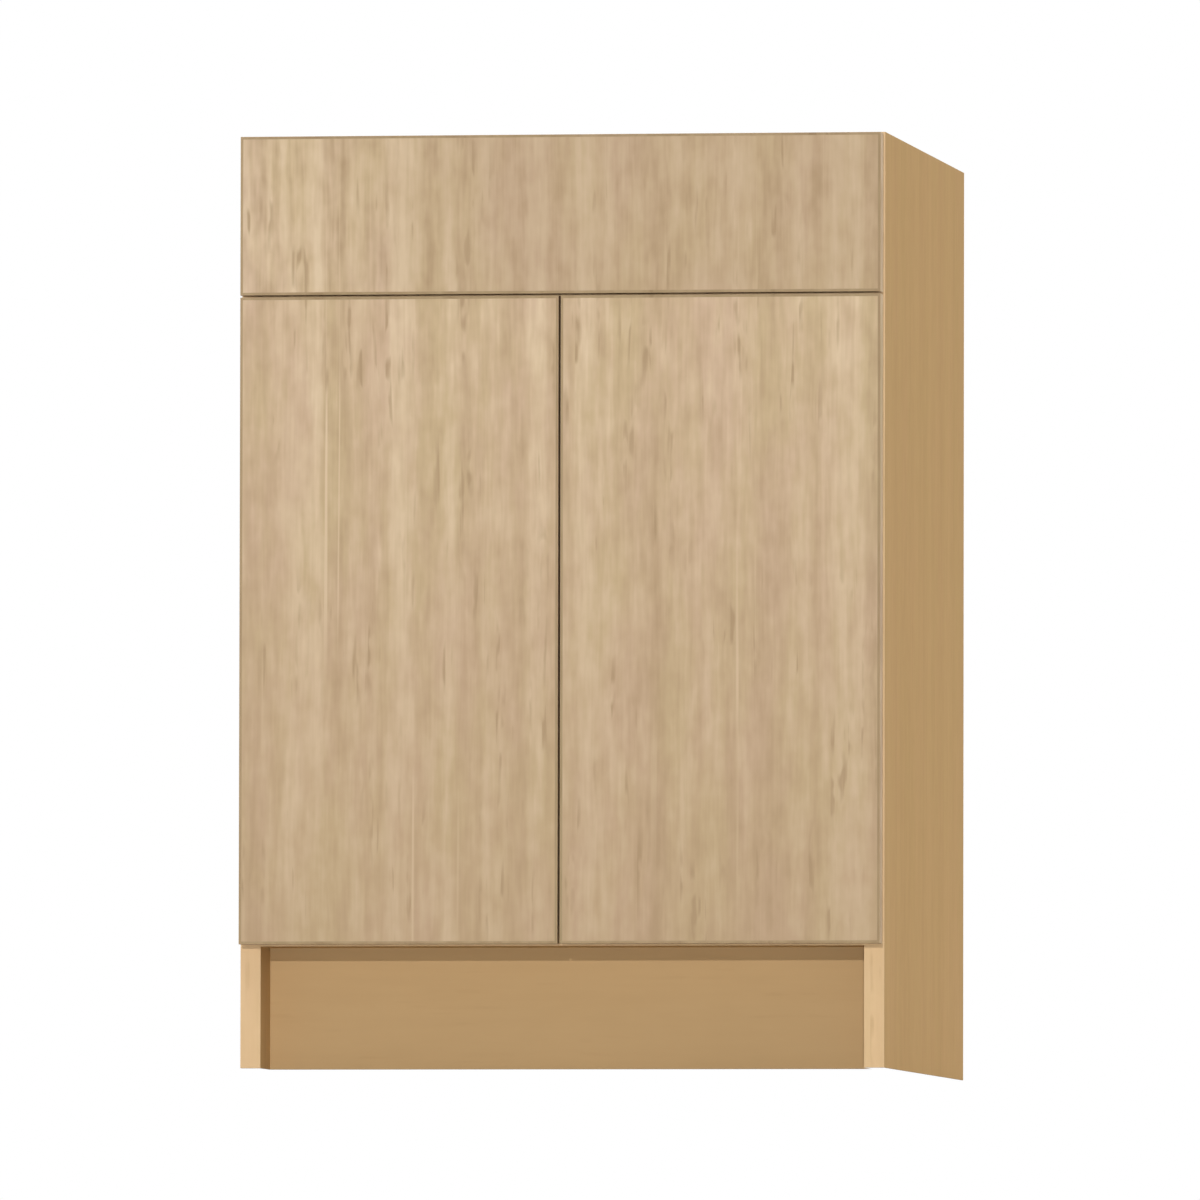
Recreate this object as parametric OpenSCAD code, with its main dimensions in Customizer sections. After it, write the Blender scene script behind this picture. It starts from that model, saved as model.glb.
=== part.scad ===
// Kitchen base cabinet with one drawer over a pair of doors, in millimetres.
// The origin is on the floor, in the middle of the width and of the depth.
// +Z is up, the doors face -Y and the wall is at +Y.

/* [Cabinet] */
// Width over both side panels
cabinet_w = 609.6; // [500:0.1:900]
// Height from the floor to the top edges
cabinet_h = 876.3; // [780:0.1:950]
// Depth from the door faces to the wall
cabinet_d = 609.6; // [580:0.1:660]
// Thickness of the carcass boards
board_t = 19; // [18:0.5:22]
// Thickness of the edge bands on the carcass
carcass_band_t = 1; // [0.5:0.1:2]
// Height of the space under the bottom panel
toe_h = 114.3; // [90:0.1:160]
// Distance from the front edges of the carcass back to the toe board
toe_recess = 57; // [40:1:90]
// Width of the rails and nailers
rail_w = 89; // [70:1:110]

/* [Back panel] */
// Thickness of the back panel
back_t = 6; // [4:0.5:9]
// Depth of the grooves that hold the back panel
back_groove_depth = 8; // [5:0.5:10]
// Height of the wall screw holes below the top edge
wall_hole_drop = 44.5; // [30:0.5:60]
// Distance between the wall screw holes
wall_hole_spacing = 400; // [300:1:440]
// Diameter of the wall screw holes
wall_hole_d = 5.5; // [4.5:0.1:7]

/* [Shelf] */
// Thickness of the shelf
shelf_t = 19; // [16:0.5:22]
// Distance from the front edges of the carcass back to the shelf
shelf_setback = 30; // [25:1:35]
// Index of the hole that the shelf pins are in, counted from the lower hinge
shelf_hole_index = 6; // [4:1:8]
// Diameter of the shelf pin holes and hinge plate holes
line_hole_d = 5; // [4.5:0.1:6]
// Depth of those holes
line_hole_depth = 13; // [11:0.5:14]
// Distance between those holes
line_hole_pitch = 32; // [30:1:34]
// Distance from the front edges of the carcass to the front row of holes
line_hole_setback = 37; // [34:1:45]
// Length of a shelf pin outside the side panel
shelf_pin_reach = 8; // [6:0.5:12]

/* [Worktop screws] */
// Diameter of the holes in the top rails
top_hole_d = 5; // [4:0.1:7]
// Distance between the holes along a rail
top_hole_spacing = 480; // [360:1:500]

/* [Doors and drawer front] */
// Thickness of the doors and the drawer front
front_t = 19; // [18:0.5:22]
// Gap between neighbouring fronts
front_gap = 2; // [1.5:0.1:4]
// Distance from the fronts to the outline of the cabinet
front_reveal = 1.5; // [1:0.1:2]
// Gap between the fronts and the carcass
bumper_gap = 2.5; // [2.3:0.1:3]
// Height of the drawer front
drawer_front_h = 149.3; // [140:0.1:180]
// Thickness of the edge bands on the fronts
front_band_t = 2.5; // [1:0.1:2.6]
// Radius of the rounded edges of those bands
front_band_r = 0.4; // [0.3:0.1:1]

/* [Drawer box] */
// Thickness of the drawer sides
drawer_side_t = 15; // [12:0.5:16]
// Height of the drawer box
drawer_box_h = 95; // [90:1:96]
// Clearance from the middle rail up to the drawer box
drawer_box_lift = 14; // [14:0.5:18]
// Thickness of the drawer bottom
drawer_bottom_t = 6; // [4:0.5:8]
// Depth of the grooves that hold the drawer bottom
drawer_groove_depth = 6; // [4:0.5:7]
// Height of the drawer bottom above the lower edge of the box
drawer_bottom_lift = 10; // [8:0.5:14]
// Number of dovetails at each corner
tail_count = 3; // [2:1:4]
// Width of a dovetail at its wide end
tail_w = 22; // [18:0.5:23]
// How much narrower each side of a dovetail is at its root
tail_flare = 2.5; // [1.5:0.1:3]

/* [Drawer slides] */
// Step between the lengths that slides are made in
slide_step = 50; // [10:5:50]
// Least space between the slides and the back panel
slide_rear_gap = 20; // [15:1:60]
// Distance from the front edges of the carcass back to the slides
slide_setback = 3; // [2:0.5:6]
// Space that a slide takes between drawer and side panel
slide_t = 12.7; // [12.5:0.1:13]
// Height of the outer member
slide_h = 45.7; // [45.2:0.1:47]
// Thickness of the steel of the slides
slide_steel_t = 1.2; // [1:0.05:1.3]
// Height of the slides above the lower edge of the drawer box
slide_lift = 27.5; // [26:0.5:36]
// Diameter of the balls between outer and middle member
outer_ball_d = 4.6; // [4.2:0.1:4.8]
// Diameter of the balls between middle and inner member
inner_ball_d = 4; // [3.6:0.1:4.2]
// Distance between the balls along a slide
ball_pitch = 25; // [15:1:40]
// Number of screws through each outer and inner member
slide_screw_count = 3; // [2:1:4]

/* [Cup hinges] */
// Distance from the ends of a door to the nearest hinge
hinge_inset = 95; // [80:1:110]
// Diameter of the cup
cup_d = 35; // [34.8:0.1:35.4]
// Depth of the cup
cup_depth = 13; // [13:0.1:13.5]
// Distance from the edge of the door to the cup
cup_tab = 3; // [3:0.1:3.5]
// Thickness of the wall and floor of the cup
cup_wall = 0.9; // [0.7:0.1:1]
// Thickness of the flange on the back of the door
cup_flange_t = 1.3; // [1:0.1:1.5]
// Distance between the two screws of a cup
cup_screw_spacing = 45; // [44:0.5:48]
// Distance from the middle of the cup to the line of its screws
cup_screw_offset = 9.5; // [9:0.5:11]
// Diameter of the pivot pins
pivot_d = 2.5; // [2.3:0.1:2.6]
// Diameter of the eyes at the ends of the links
link_eye_d = 5.2; // [4.8:0.1:5.2]
// Thickness of the steel between the eyes
link_t = 2.4; // [1.8:0.1:2.4]
// Thickness of the sheet of the hinge arm
arm_sheet_t = 1.6; // [1.2:0.1:2]
// Height of the hinge arm above the side panel
arm_h = 21.6; // [21.4:0.1:24]
// Length of the mounting plate's block
plate_block_l = 36; // [30:1:40]
// Thickness of the mounting plate's wings
plate_wing_t = 2.5; // [2.4:0.1:3.5]

/* [Push latches] */
// Travel of the plungers
plunger_travel = 37; // [20:1:40]
// Diameter of the plungers
plunger_d = 8; // [6:0.5:8]
// Length of the plungers
plunger_l = 55; // [52:1:60]
// Width of a latch housing
latch_w = 18; // [16:0.5:22]
// Height of a latch housing
latch_h = 12; // [11:0.5:12]
// Distance from the middle of the cabinet to the latches of the doors
latch_inset = 34; // [32:1:60]
// Diameter of the strike plates on the doors
strike_d = 14; // [12:1:18]

/* [Fittings] */
// Diameter of the cam fittings
cam_d = 15; // [14:0.5:15.5]
// Height of the cam fittings
cam_h = 12.5; // [11.5:0.1:13]
// Distance from the side panels to the middle of the cams
cam_reach = 34; // [30:0.5:36]
// Diameter of the cam bolts
cam_bolt_d = 6; // [5:0.1:6.5]
// Diameter of the dowels
dowel_d = 8; // [6:0.5:8.5]
// Length of the dowels
dowel_l = 30; // [24:1:32]
// Diameter of the screws
screw_d = 3.5; // [3:0.1:4]
// Diameter of their heads
screw_head_d = 7; // [6:0.1:7.2]
// Height of their heads
screw_head_h = 2.2; // [1.8:0.1:2.4]

/* [Hidden] */

$fn = 48;

// Clearances
eps = 0.01;
fit_gap = 0.1;
pivot_gap = 0.05;
panel_gap = 0.5;
shelf_gap = 1;
seat_gap = 0.3;
screw_land = 0.3;
end_gap = 1;
overrun = 1;

// Colours
front_colour = [0.80, 0.71, 0.58];
band_colour = [0.72, 0.62, 0.49];
board_colour = [0.71, 0.58, 0.41];
shelf_colour = [0.75, 0.64, 0.48];
back_colour = [0.78, 0.70, 0.56];
box_colour = [0.86, 0.76, 0.60];
steel_colour = [0.72, 0.73, 0.75];
cast_colour = [0.62, 0.63, 0.65];
plastic_colour = [0.55, 0.56, 0.58];
dowel_colour = [0.83, 0.68, 0.46];

// Cross recess in the heads of screws and cams
recess_l = 4;
recess_w = 0.8;
recess_depth = 1.3;

// Planes of the carcass
side_x = cabinet_w / 2;
inner_x = side_x - board_t;
face_y = -cabinet_d / 2;
door_back_y = face_y + front_t;
carcass_y = door_back_y + bumper_gap;
board_y = carcass_y + carcass_band_t;
rear_y = cabinet_d / 2;
back_rear_y = rear_y - board_t;
back_y = back_rear_y - back_t;
bottom_top_z = toe_h + board_t;
rail_z = cabinet_h - board_t;
back_rail_y = back_y - rail_w;

// Fronts
drawer_front_z = cabinet_h - front_reveal - drawer_front_h;
door_z = toe_h + front_reveal;
door_top_z = drawer_front_z - front_gap;
door_h = door_top_z - door_z;
door_w = (cabinet_w - 2 * front_reveal - front_gap) / 2;
front_w = cabinet_w - 2 * front_reveal;
middle_rail_z = drawer_front_z - front_gap / 2 - board_t / 2;
middle_rail_top = middle_rail_z + board_t;

// Holes for hinge plates and shelf pins lie on one grid
hinge_low_z = door_z + hinge_inset;
hinge_steps = floor((door_h - 2 * hinge_inset) / line_hole_pitch);
hinge_z = [hinge_low_z, hinge_low_z + hinge_steps * line_hole_pitch];
first_hole_z = hinge_low_z - line_hole_pitch / 2;
plate_holes = [0, 1, hinge_steps, hinge_steps + 1];
clear_holes = 2;
shelf_holes = [for (i = [clear_holes + 1 : hinge_steps - clear_holes]) i];
line_y = carcass_y + line_hole_setback;
rear_line_y = back_y - line_hole_setback;
shelf_pin_z = first_hole_z + shelf_hole_index * line_hole_pitch;
shelf_pin_nose_r = line_hole_d * 0.75;
shelf_z = shelf_pin_z + line_hole_d / 2;
shelf_y = carcass_y + shelf_setback;

// Cams hold the boards between the side panels, and dowels line them up
cam_drop = 0.6;
cam_bolt_thread_l = 11;
cam_bolt_thread_d = 4.4;
cam_bolt_head_d = 6.8;
cam_slot_gap = 0.4;
cam_slot_w = cam_bolt_head_d + 2 * cam_slot_gap;
joint_inset = 25;
bottom_joint_inset = 60;
joint_pitch = 32;
bottom_mid_z = toe_h + board_t / 2;
rail_mid_z = rail_z + board_t / 2;
middle_mid_z = middle_rail_z + board_t / 2;
flat_cams = [
    [carcass_y + bottom_joint_inset, bottom_mid_z],
    [back_y - bottom_joint_inset, bottom_mid_z],
    [carcass_y + joint_inset, rail_mid_z],
    [back_rail_y + joint_inset, rail_mid_z],
    [carcass_y + joint_inset, middle_mid_z]];
flat_dowels = [
    [carcass_y + bottom_joint_inset + joint_pitch, bottom_mid_z],
    [back_y - bottom_joint_inset - joint_pitch, bottom_mid_z],
    [carcass_y + rail_w - joint_inset, rail_mid_z],
    [back_y - joint_inset, rail_mid_z],
    [carcass_y + rail_w - joint_inset, middle_mid_z]];
nailer_mid_y = rear_y - board_t / 2;
toe_y = carcass_y + toe_recess;
toe_mid_y = toe_y + board_t / 2;
upright_cams = [
    [nailer_mid_y, cabinet_h - joint_inset],
    [nailer_mid_y, toe_h + joint_inset],
    [toe_mid_y, joint_inset]];
upright_dowels = [
    [nailer_mid_y, cabinet_h - rail_w + joint_inset],
    [nailer_mid_y, toe_h + rail_w - joint_inset],
    [toe_mid_y, toe_h - joint_inset]];

// Worktop and wall screws
top_hole_ys = [carcass_y + rail_w / 2, back_y - rail_w / 2];
wall_hole_z = cabinet_h - wall_hole_drop;

// Drawer box and its slides
box_half_w = inner_x - slide_t;
box_z = middle_rail_top + drawer_box_lift;
slide_y = carcass_y + slide_setback;
slide_l = slide_step * floor((back_y - slide_rear_gap - slide_y) / slide_step);
slide_travel = slide_l;
box_rear_y = slide_y + slide_l;
box_l = box_rear_y - door_back_y;
slide_z = box_z + slide_lift;
bottom_z = box_z + drawer_bottom_lift;
tail_pitch = drawer_box_h / tail_count;
middle_ratio = 0.5;
cage_margin = 25;
cage_l = slide_l - middle_ratio * slide_travel - 2 * cage_margin;
cage_y = slide_y + middle_ratio * slide_travel / 2 + cage_margin;
cage_t = 0.8;
cage_gap = 0.4;
ball_count = floor(cage_l / ball_pitch);

// Cross section of a slide, with x from the side panel and z from the middle
outer_flange_z = slide_h / 2 - slide_steel_t;
outer_lip_gap = 1;
outer_lip_x = slide_t - 2 * slide_steel_t - outer_lip_gap;
outer_lip_h = 4.4;
outer_row_z = outer_flange_z - fit_gap - outer_ball_d / 2;
outer_row_x = (slide_steel_t + outer_lip_x) / 2;
middle_web_gap = 0.7;
middle_web_x = slide_steel_t + middle_web_gap;
middle_top_z = outer_row_z - outer_ball_d / 2 - fit_gap;
middle_lip_gap = 0.6;
middle_lip_x = slide_t - 2 * slide_steel_t - middle_lip_gap;
middle_lip_h = 3.8;
inner_row_z = middle_top_z - slide_steel_t - fit_gap - inner_ball_d / 2;
inner_row_x = (middle_web_x + slide_steel_t + middle_lip_x) / 2;
drawer_top_z = inner_row_z - inner_ball_d / 2 - fit_gap;
drawer_flange_x = inner_row_x - inner_ball_d / 2;
slide_screw_inset = 35;
slide_screw_l = 13;
slide_screw_pitch = (slide_l - 2 * slide_screw_inset) / (slide_screw_count - 1);

// Drawer front screws
front_screw_inset = 60;
front_screw_x = box_half_w - front_screw_inset;
front_screw_drop = 22;
front_screw_bite = 12;
front_screw_zs = [box_z + front_screw_drop, box_z + drawer_box_h - front_screw_drop];

// Cup hinge seen from above, with u from the outer face of the side panel
// inwards and v from the front edges of the carcass backwards
cup_u = front_reveal + cup_tab + cup_d / 2;
door_back_v = -bumper_gap;
cup_inner_r = cup_d / 2 - cup_wall;
cup_floor_v = door_back_v - cup_depth + cup_wall;
outer_arm_pin_h = 9.5;
outer_arm_pin_v = 14;
inner_arm_pin_h = 16;
inner_arm_pin_v = 12.5;
outer_cup_pin_offset = 12;
outer_cup_pin_depth = 8.5;
inner_cup_pin_offset = 11;
inner_cup_pin_depth = 2.6;
outer_elbow_depth = 10.5;
inner_elbow_offset = 1.5;
inner_elbow_depth = 2.8;
outer_arm_pin = [board_t + outer_arm_pin_h, outer_arm_pin_v];
inner_arm_pin = [board_t + inner_arm_pin_h, inner_arm_pin_v];
outer_cup_pin = [cup_u - outer_cup_pin_offset, door_back_v - outer_cup_pin_depth];
inner_cup_pin = [cup_u - inner_cup_pin_offset, door_back_v - inner_cup_pin_depth];
outer_elbow = [cup_u, door_back_v - outer_elbow_depth];
inner_elbow = [cup_u + inner_elbow_offset, door_back_v - inner_elbow_depth];

// Layers of the hinge, from its middle to one side
layer_gap = 0.2;
cup_fin_t = 1.5;
outer_link_side_t = 2;
cup_cheek_t = 2;
inner_link_w = 2.5;
cup_fin_w = inner_link_w + layer_gap;
cup_fin = [cup_fin_w, cup_fin_w + cup_fin_t];
outer_link_gap_w = cup_fin[1] + layer_gap;
outer_link_w = [outer_link_gap_w, outer_link_gap_w + outer_link_side_t];
cup_cheek_w = outer_link_w[1] + layer_gap;
cup_cheek = [cup_cheek_w, cup_cheek_w + cup_cheek_t];
arm_cheek_w = outer_link_w[1] + 3 * layer_gap;
arm_cheek = [arm_cheek_w, arm_cheek_w + arm_sheet_t];

// Arm and mounting plate of the hinge
arm_front_v = 9.5;
arm_rear_v = 62;
arm_web_v = 17.5;
arm_foot_h = 5;
arm_u = [board_t + arm_foot_h, board_t + arm_h];
plate_block_v = 24;
plate_block_w = outer_link_w[1];
plate_wing_r = 8;
pivot_reach = 12;
arm_screw_l = 12;
cup_screw_l = 14;
front_arm_screw_offset = 6;
rear_arm_screw_offset = 14;
arm_screw_vs = [
    line_hole_setback - front_arm_screw_offset, line_hole_setback + rear_arm_screw_offset];
cup_ear_r = 7;
cup_rim_w = 2;
cup_notch_l = 4;
cup_notch_depth = 3;
cup_notch_w = outer_link_w[1] + seat_gap;
bridge_bite = 0.4;
rivet_head_d = 5;
rivet_head_t = 0.6;

// Push latches
latch_front_v = 2;
latch_end_t = 6;
latch_l = plunger_l + latch_end_t;
strike_t = 1;
door_latch_z = middle_rail_z - latch_h / 2;
drawer_latch_z = middle_rail_top + latch_h / 2;
latch_ear_w = 8;
latch_ear_t = 2.5;
latch_ear_l = 16;
latch_ear_setback = 30;
latch_ear_v = latch_front_v + latch_ear_setback;
latch_screw_l = 14;

// Building blocks
module block(low, high) {
    translate(low) cube(high - low);
}

module rod_x(place, r, l) {
    translate(place) rotate([0, 90, 0]) cylinder(h = l, r = r);
}

module rod_y(place, r, l) {
    translate(place) rotate([-90, 0, 0]) cylinder(h = l, r = r);
}

module rod_z(place, r, l) {
    translate(place) cylinder(h = l, r = r);
}

module both_sides() {
    children();
    mirror([1, 0, 0]) children();
}

// A countersunk screw with its head at the origin, pointing up, or its hole
module screw_body(l, extra, shank_d) {
    head_r = screw_head_d / 2 + extra;
    shank_r = shank_d / 2 + extra;
    rotate_extrude()
        polygon([
            [0, -extra], [head_r, -extra], [head_r, screw_land], [shank_r, screw_head_h],
            [shank_r, l - shank_r], [0, l + extra]]);
}

module cross_recess() {
    for (a = [0, 90])
        rotate([0, 0, a])
            block(
                [-recess_l / 2, -recess_w / 2, -overrun],
                [recess_l / 2, recess_w / 2, recess_depth]);
}

module screw_or_hole(l, hole, shank_d = screw_d) {
    if (hole)
        screw_body(l, fit_gap, shank_d);
    else
        difference() {
            screw_body(l, 0, shank_d);
            cross_recess();
        }
}

// Strips round the four edges of a front, with their outer edges rounded
module band_profile() {
    difference() {
        square([front_band_t, front_t]);
        for (y = [0, front_t])
            difference() {
                translate([-eps, y == 0 ? -eps : y - front_band_r])
                    square([front_band_r + eps, front_band_r + eps]);
                translate([front_band_r, y == 0 ? front_band_r : y - front_band_r])
                    circle(r = front_band_r);
            }
    }
}

module upright_band(h) {
    linear_extrude(h) band_profile();
}

module front_bands(x, z, w, h) {
    inner_w = w - 2 * front_band_t;
    translate([x, face_y, z]) {
        upright_band(h);
        translate([w, 0, 0]) mirror([1, 0, 0]) upright_band(h);
        translate([front_band_t, 0, 0])
            rotate([0, 90, 0]) mirror([1, 0, 0]) upright_band(inner_w);
        translate([front_band_t, 0, h])
            rotate([0, 90, 0]) upright_band(inner_w);
    }
}

module front_core(x, z, w, h) {
    block(
        [x + front_band_t, face_y, z + front_band_t],
        [x + w - front_band_t, door_back_y, z + h - front_band_t]);
}

// Ways for the fittings, on the +X side
module dowel_ways(places) {
    for (p = places)
        rod_x(
            [inner_x - dowel_l / 2 - panel_gap, p[0], p[1]],
            dowel_d / 2 + fit_gap, dowel_l + 2 * panel_gap);
}

module cam_bolt_ways(places) {
    for (p = places)
        rod_x([inner_x - cam_reach, p[0], p[1]], cam_bolt_head_d / 2 + fit_gap, cam_reach + eps);
}

module flat_cuts() {
    cam_bolt_ways(flat_cams);
    dowel_ways(flat_dowels);
    for (p = flat_cams)
        rod_z(
            [inner_x - cam_reach, p[0], p[1] - board_t / 2 - eps],
            cam_d / 2 + fit_gap, cam_h + cam_drop + eps);
}

module upright_cuts() {
    cam_bolt_ways(upright_cams);
    dowel_ways(upright_dowels);
    for (p = upright_cams)
        rod_y(
            [inner_x - cam_reach, p[0] + board_t / 2 - cam_h - cam_drop, p[1]],
            cam_d / 2 + fit_gap, cam_h + cam_drop + eps);
}

module slide_screw_places(s) {
    for (i = [0 : slide_screw_count - 1])
        translate([inner_x - s, slide_y + slide_screw_inset + i * slide_screw_pitch, slide_z])
            children();
}

module outer_slide_screws(hole) {
    slide_screw_places(slide_steel_t)
        rotate([0, 90, 0]) screw_or_hole(slide_screw_l, hole);
}

module inner_slide_screws(hole) {
    slide_screw_places(slide_t - slide_steel_t)
        rotate([0, -90, 0]) screw_or_hole(slide_screw_l, hole);
}

module side_cuts() {
    dowel_ways(concat(flat_dowels, upright_dowels));
    for (p = concat(flat_cams, upright_cams))
        rod_x(
            [inner_x - eps, p[0], p[1]],
            cam_bolt_thread_d / 2 + fit_gap, cam_bolt_thread_l + panel_gap);
    for (i = concat(plate_holes, shelf_holes))
        line_hole(line_y, i);
    for (i = shelf_holes)
        line_hole(rear_line_y, i);
    block(
        [inner_x - eps, back_y - fit_gap, toe_h - fit_gap],
        [inner_x + back_groove_depth, back_rear_y + fit_gap, cabinet_h + eps]);
    outer_slide_screws(true);
}

module line_hole(y, i) {
    rod_x(
        [inner_x - eps, y, first_hole_z + i * line_hole_pitch],
        line_hole_d / 2, line_hole_depth + eps);
}

// Carcass boards
module right_side_panel() {
    color(board_colour)
        difference() {
            block([inner_x, board_y, 0], [side_x, rear_y, cabinet_h]);
            side_cuts();
        }
}

module left_side_panel() {
    mirror([1, 0, 0]) right_side_panel();
}

module flat_board(y0, y1, z) {
    color(board_colour)
        difference() {
            block([-inner_x, y0, z], [inner_x, y1, z + board_t]);
            both_sides() flat_cuts();
            top_holes();
            both_sides() latch_screws(true);
        }
}

module top_holes() {
    for (y = top_hole_ys)
        both_sides()
            rod_z([top_hole_spacing / 2, y, rail_z - eps], top_hole_d / 2, board_t + 2 * eps);
}

module bottom_panel() {
    flat_board(board_y, back_y, toe_h);
}

module top_front_rail() {
    flat_board(board_y, carcass_y + rail_w, rail_z);
}

module top_back_rail() {
    flat_board(back_rail_y, back_y, rail_z);
}

module middle_rail() {
    flat_board(board_y, carcass_y + rail_w, middle_rail_z);
}

module upright_board(y, z0, z1) {
    color(board_colour)
        difference() {
            block([-inner_x, y, z0], [inner_x, y + board_t, z1]);
            both_sides() upright_cuts();
            wall_holes();
        }
}

module wall_holes() {
    both_sides()
        rod_y(
            [wall_hole_spacing / 2, back_y - eps, wall_hole_z],
            wall_hole_d / 2, back_t + board_t + 2 * eps);
}

module toe_kick_board() {
    upright_board(toe_y, 0, toe_h);
}

module top_nailer() {
    upright_board(back_rear_y, cabinet_h - rail_w, cabinet_h);
}

module bottom_nailer() {
    upright_board(back_rear_y, toe_h, toe_h + rail_w);
}

module back_panel() {
    half_w = inner_x + back_groove_depth - panel_gap;
    color(back_colour)
        difference() {
            block([-half_w, back_y, toe_h], [half_w, back_rear_y, cabinet_h]);
            wall_holes();
        }
}

module shelf() {
    half_w = inner_x - shelf_gap;
    color(shelf_colour)
        block(
            [-half_w, shelf_y + carcass_band_t, shelf_z],
            [half_w, back_y - 2 * shelf_gap, shelf_z + shelf_t]);
}

module shelf_pins() {
    color(steel_colour)
        both_sides()
            for (y = [line_y, rear_line_y]) {
                rod_x(
                    [inner_x - eps, y, shelf_pin_z],
                    line_hole_d / 2 - fit_gap, line_hole_depth - panel_gap);
                difference() {
                    rod_x([inner_x - shelf_pin_reach, y, shelf_pin_z], shelf_pin_nose_r, shelf_pin_reach);
                    block(
                        [inner_x - 2 * shelf_pin_reach, y - line_hole_d, shelf_z],
                        [inner_x + overrun, y + line_hole_d, shelf_z + line_hole_d]);
                }
            }
}

module front_band(half_w, y, z, t) {
    block([-half_w, y, z], [half_w, y + carcass_band_t, z + t]);
}

module carcass_edge_bands() {
    color(band_colour) {
        both_sides() block([inner_x, carcass_y, 0], [side_x, board_y, cabinet_h]);
        front_band(inner_x, carcass_y, toe_h, board_t);
        front_band(inner_x, carcass_y, middle_rail_z, board_t);
        front_band(inner_x, carcass_y, rail_z, board_t);
        front_band(inner_x - shelf_gap, shelf_y, shelf_z, shelf_t);
    }
}

// Fittings between the boards
module cam() {
    difference() {
        cylinder(h = cam_h, r = cam_d / 2);
        translate([0, 0, board_t / 2 - cam_drop])
            block(
                [-cam_slot_w / 2, -cam_slot_w / 2, -cam_slot_w / 2],
                [cam_d, cam_slot_w / 2, cam_slot_w / 2]);
        cross_recess();
    }
}

module cam_fittings() {
    color(cast_colour)
        both_sides() {
            for (p = flat_cams)
                translate([inner_x - cam_reach, p[0], p[1] - board_t / 2 + cam_drop]) cam();
            for (p = upright_cams)
                translate([inner_x - cam_reach, p[0] + board_t / 2 - cam_drop, p[1]])
                    rotate([90, 0, 0]) cam();
        }
}

module cam_bolt() {
    neck_l = 3;
    head_l = 3;
    rotate([0, 90, 0])
        rotate_extrude()
            polygon([
                [0, -cam_reach], [cam_bolt_head_d / 2, -cam_reach],
                [cam_bolt_head_d / 2, head_l - cam_reach], [cam_bolt_d / 4, head_l - cam_reach],
                [cam_bolt_d / 4, head_l + neck_l - cam_reach],
                [cam_bolt_d / 2, head_l + neck_l - cam_reach],
                [cam_bolt_d / 2, 0], [cam_bolt_thread_d / 2, 0],
                [cam_bolt_thread_d / 2, cam_bolt_thread_l], [0, cam_bolt_thread_l]]);
}

module cam_bolts() {
    color(steel_colour)
        both_sides()
            for (p = concat(flat_cams, upright_cams))
                translate([inner_x, p[0], p[1]]) cam_bolt();
}

module dowels() {
    color(dowel_colour)
        both_sides()
            for (p = concat(flat_dowels, upright_dowels))
                rod_x([inner_x - dowel_l / 2, p[0], p[1]], dowel_d / 2, dowel_l);
}

// Cup hinges, drawn for the left side with x as u, y as v and z as height
module at_hinges() {
    for (z = hinge_z)
        translate([-side_x, carcass_y, z]) children();
}

module right_side() {
    mirror([1, 0, 0]) children();
}

module along_u(u, l) {
    translate([u, 0, 0]) rotate([90, 0, 90]) linear_extrude(l) children();
}

module both_cheeks(w) {
    for (m = [0, 1])
        mirror([0, 0, m]) translate([0, 0, w[0]]) linear_extrude(w[1] - w[0]) children();
}

module pivot_hole(place) {
    translate([place[0], place[1], -pivot_reach])
        cylinder(h = 2 * pivot_reach, d = pivot_d + 2 * pivot_gap);
}

module plate_screws(hole) {
    for (w = [-line_hole_pitch / 2, line_hole_pitch / 2])
        translate([board_t + plate_wing_t, line_hole_setback, w])
            rotate([0, -90, 0])
                screw_or_hole(line_hole_depth + plate_wing_t - end_gap, hole, line_hole_d - 2 * fit_gap);
}

module arm_screws(hole) {
    for (v = arm_screw_vs)
        translate([arm_u[1], v, 0]) rotate([0, -90, 0]) screw_or_hole(arm_screw_l, hole);
}

module hinge_plate() {
    difference() {
        union() {
            along_u(board_t, plate_wing_t)
                for (w = [-line_hole_pitch / 2, line_hole_pitch / 2]) {
                    translate([line_hole_setback, w]) circle(r = plate_wing_r);
                    translate([line_hole_setback - plate_wing_r, -line_hole_pitch / 2])
                        square([2 * plate_wing_r, line_hole_pitch]);
                }
            block(
                [board_t, plate_block_v, -plate_block_w],
                [arm_u[1] - arm_sheet_t, plate_block_v + plate_block_l, plate_block_w]);
        }
        plate_screws(true);
        arm_screws(true);
    }
}

// The cheek is deep round the pins and slopes up behind them
module arm_cheek_outline() {
    nose = outer_arm_pin[1] - arm_front_v;
    polygon([
        [arm_u[0], outer_arm_pin[1] - nose / 2], [arm_u[0] + nose / 2, arm_front_v],
        [arm_u[1] - nose / 2, arm_front_v], [arm_u[1], inner_arm_pin[1]],
        [arm_u[1], arm_rear_v], [arm_u[1] - arm_h / 3, arm_rear_v],
        [arm_u[0], plate_block_v]]);
}

module hinge_arm() {
    difference() {
        union() {
            both_cheeks(arm_cheek) arm_cheek_outline();
            block(
                [arm_u[1] - arm_sheet_t, arm_web_v, -arm_cheek[0] - eps],
                [arm_u[1], arm_rear_v, arm_cheek[0] + eps]);
        }
        pivot_hole(outer_arm_pin);
        pivot_hole(inner_arm_pin);
        arm_screws(true);
    }
}

// A rivet from w[0] out to w[1], with its head outside
module rivets(place, w) {
    both_cheeks(w) translate(place) circle(d = pivot_d);
    both_cheeks([w[1], w[1] + rivet_head_t]) translate(place) circle(d = rivet_head_d);
}

module hinge_pins_of_arm() {
    rivets(outer_arm_pin, [outer_link_w[0] - fit_gap, arm_cheek[1]]);
    rivets(inner_arm_pin, [arm_cheek[0], arm_cheek[1]]);
}

module link_bar(a, b) {
    along = b - a;
    translate(a)
        rotate(atan2(along[1], along[0]))
            translate([0, -link_t / 2]) square([norm(along), link_t]);
}

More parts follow.
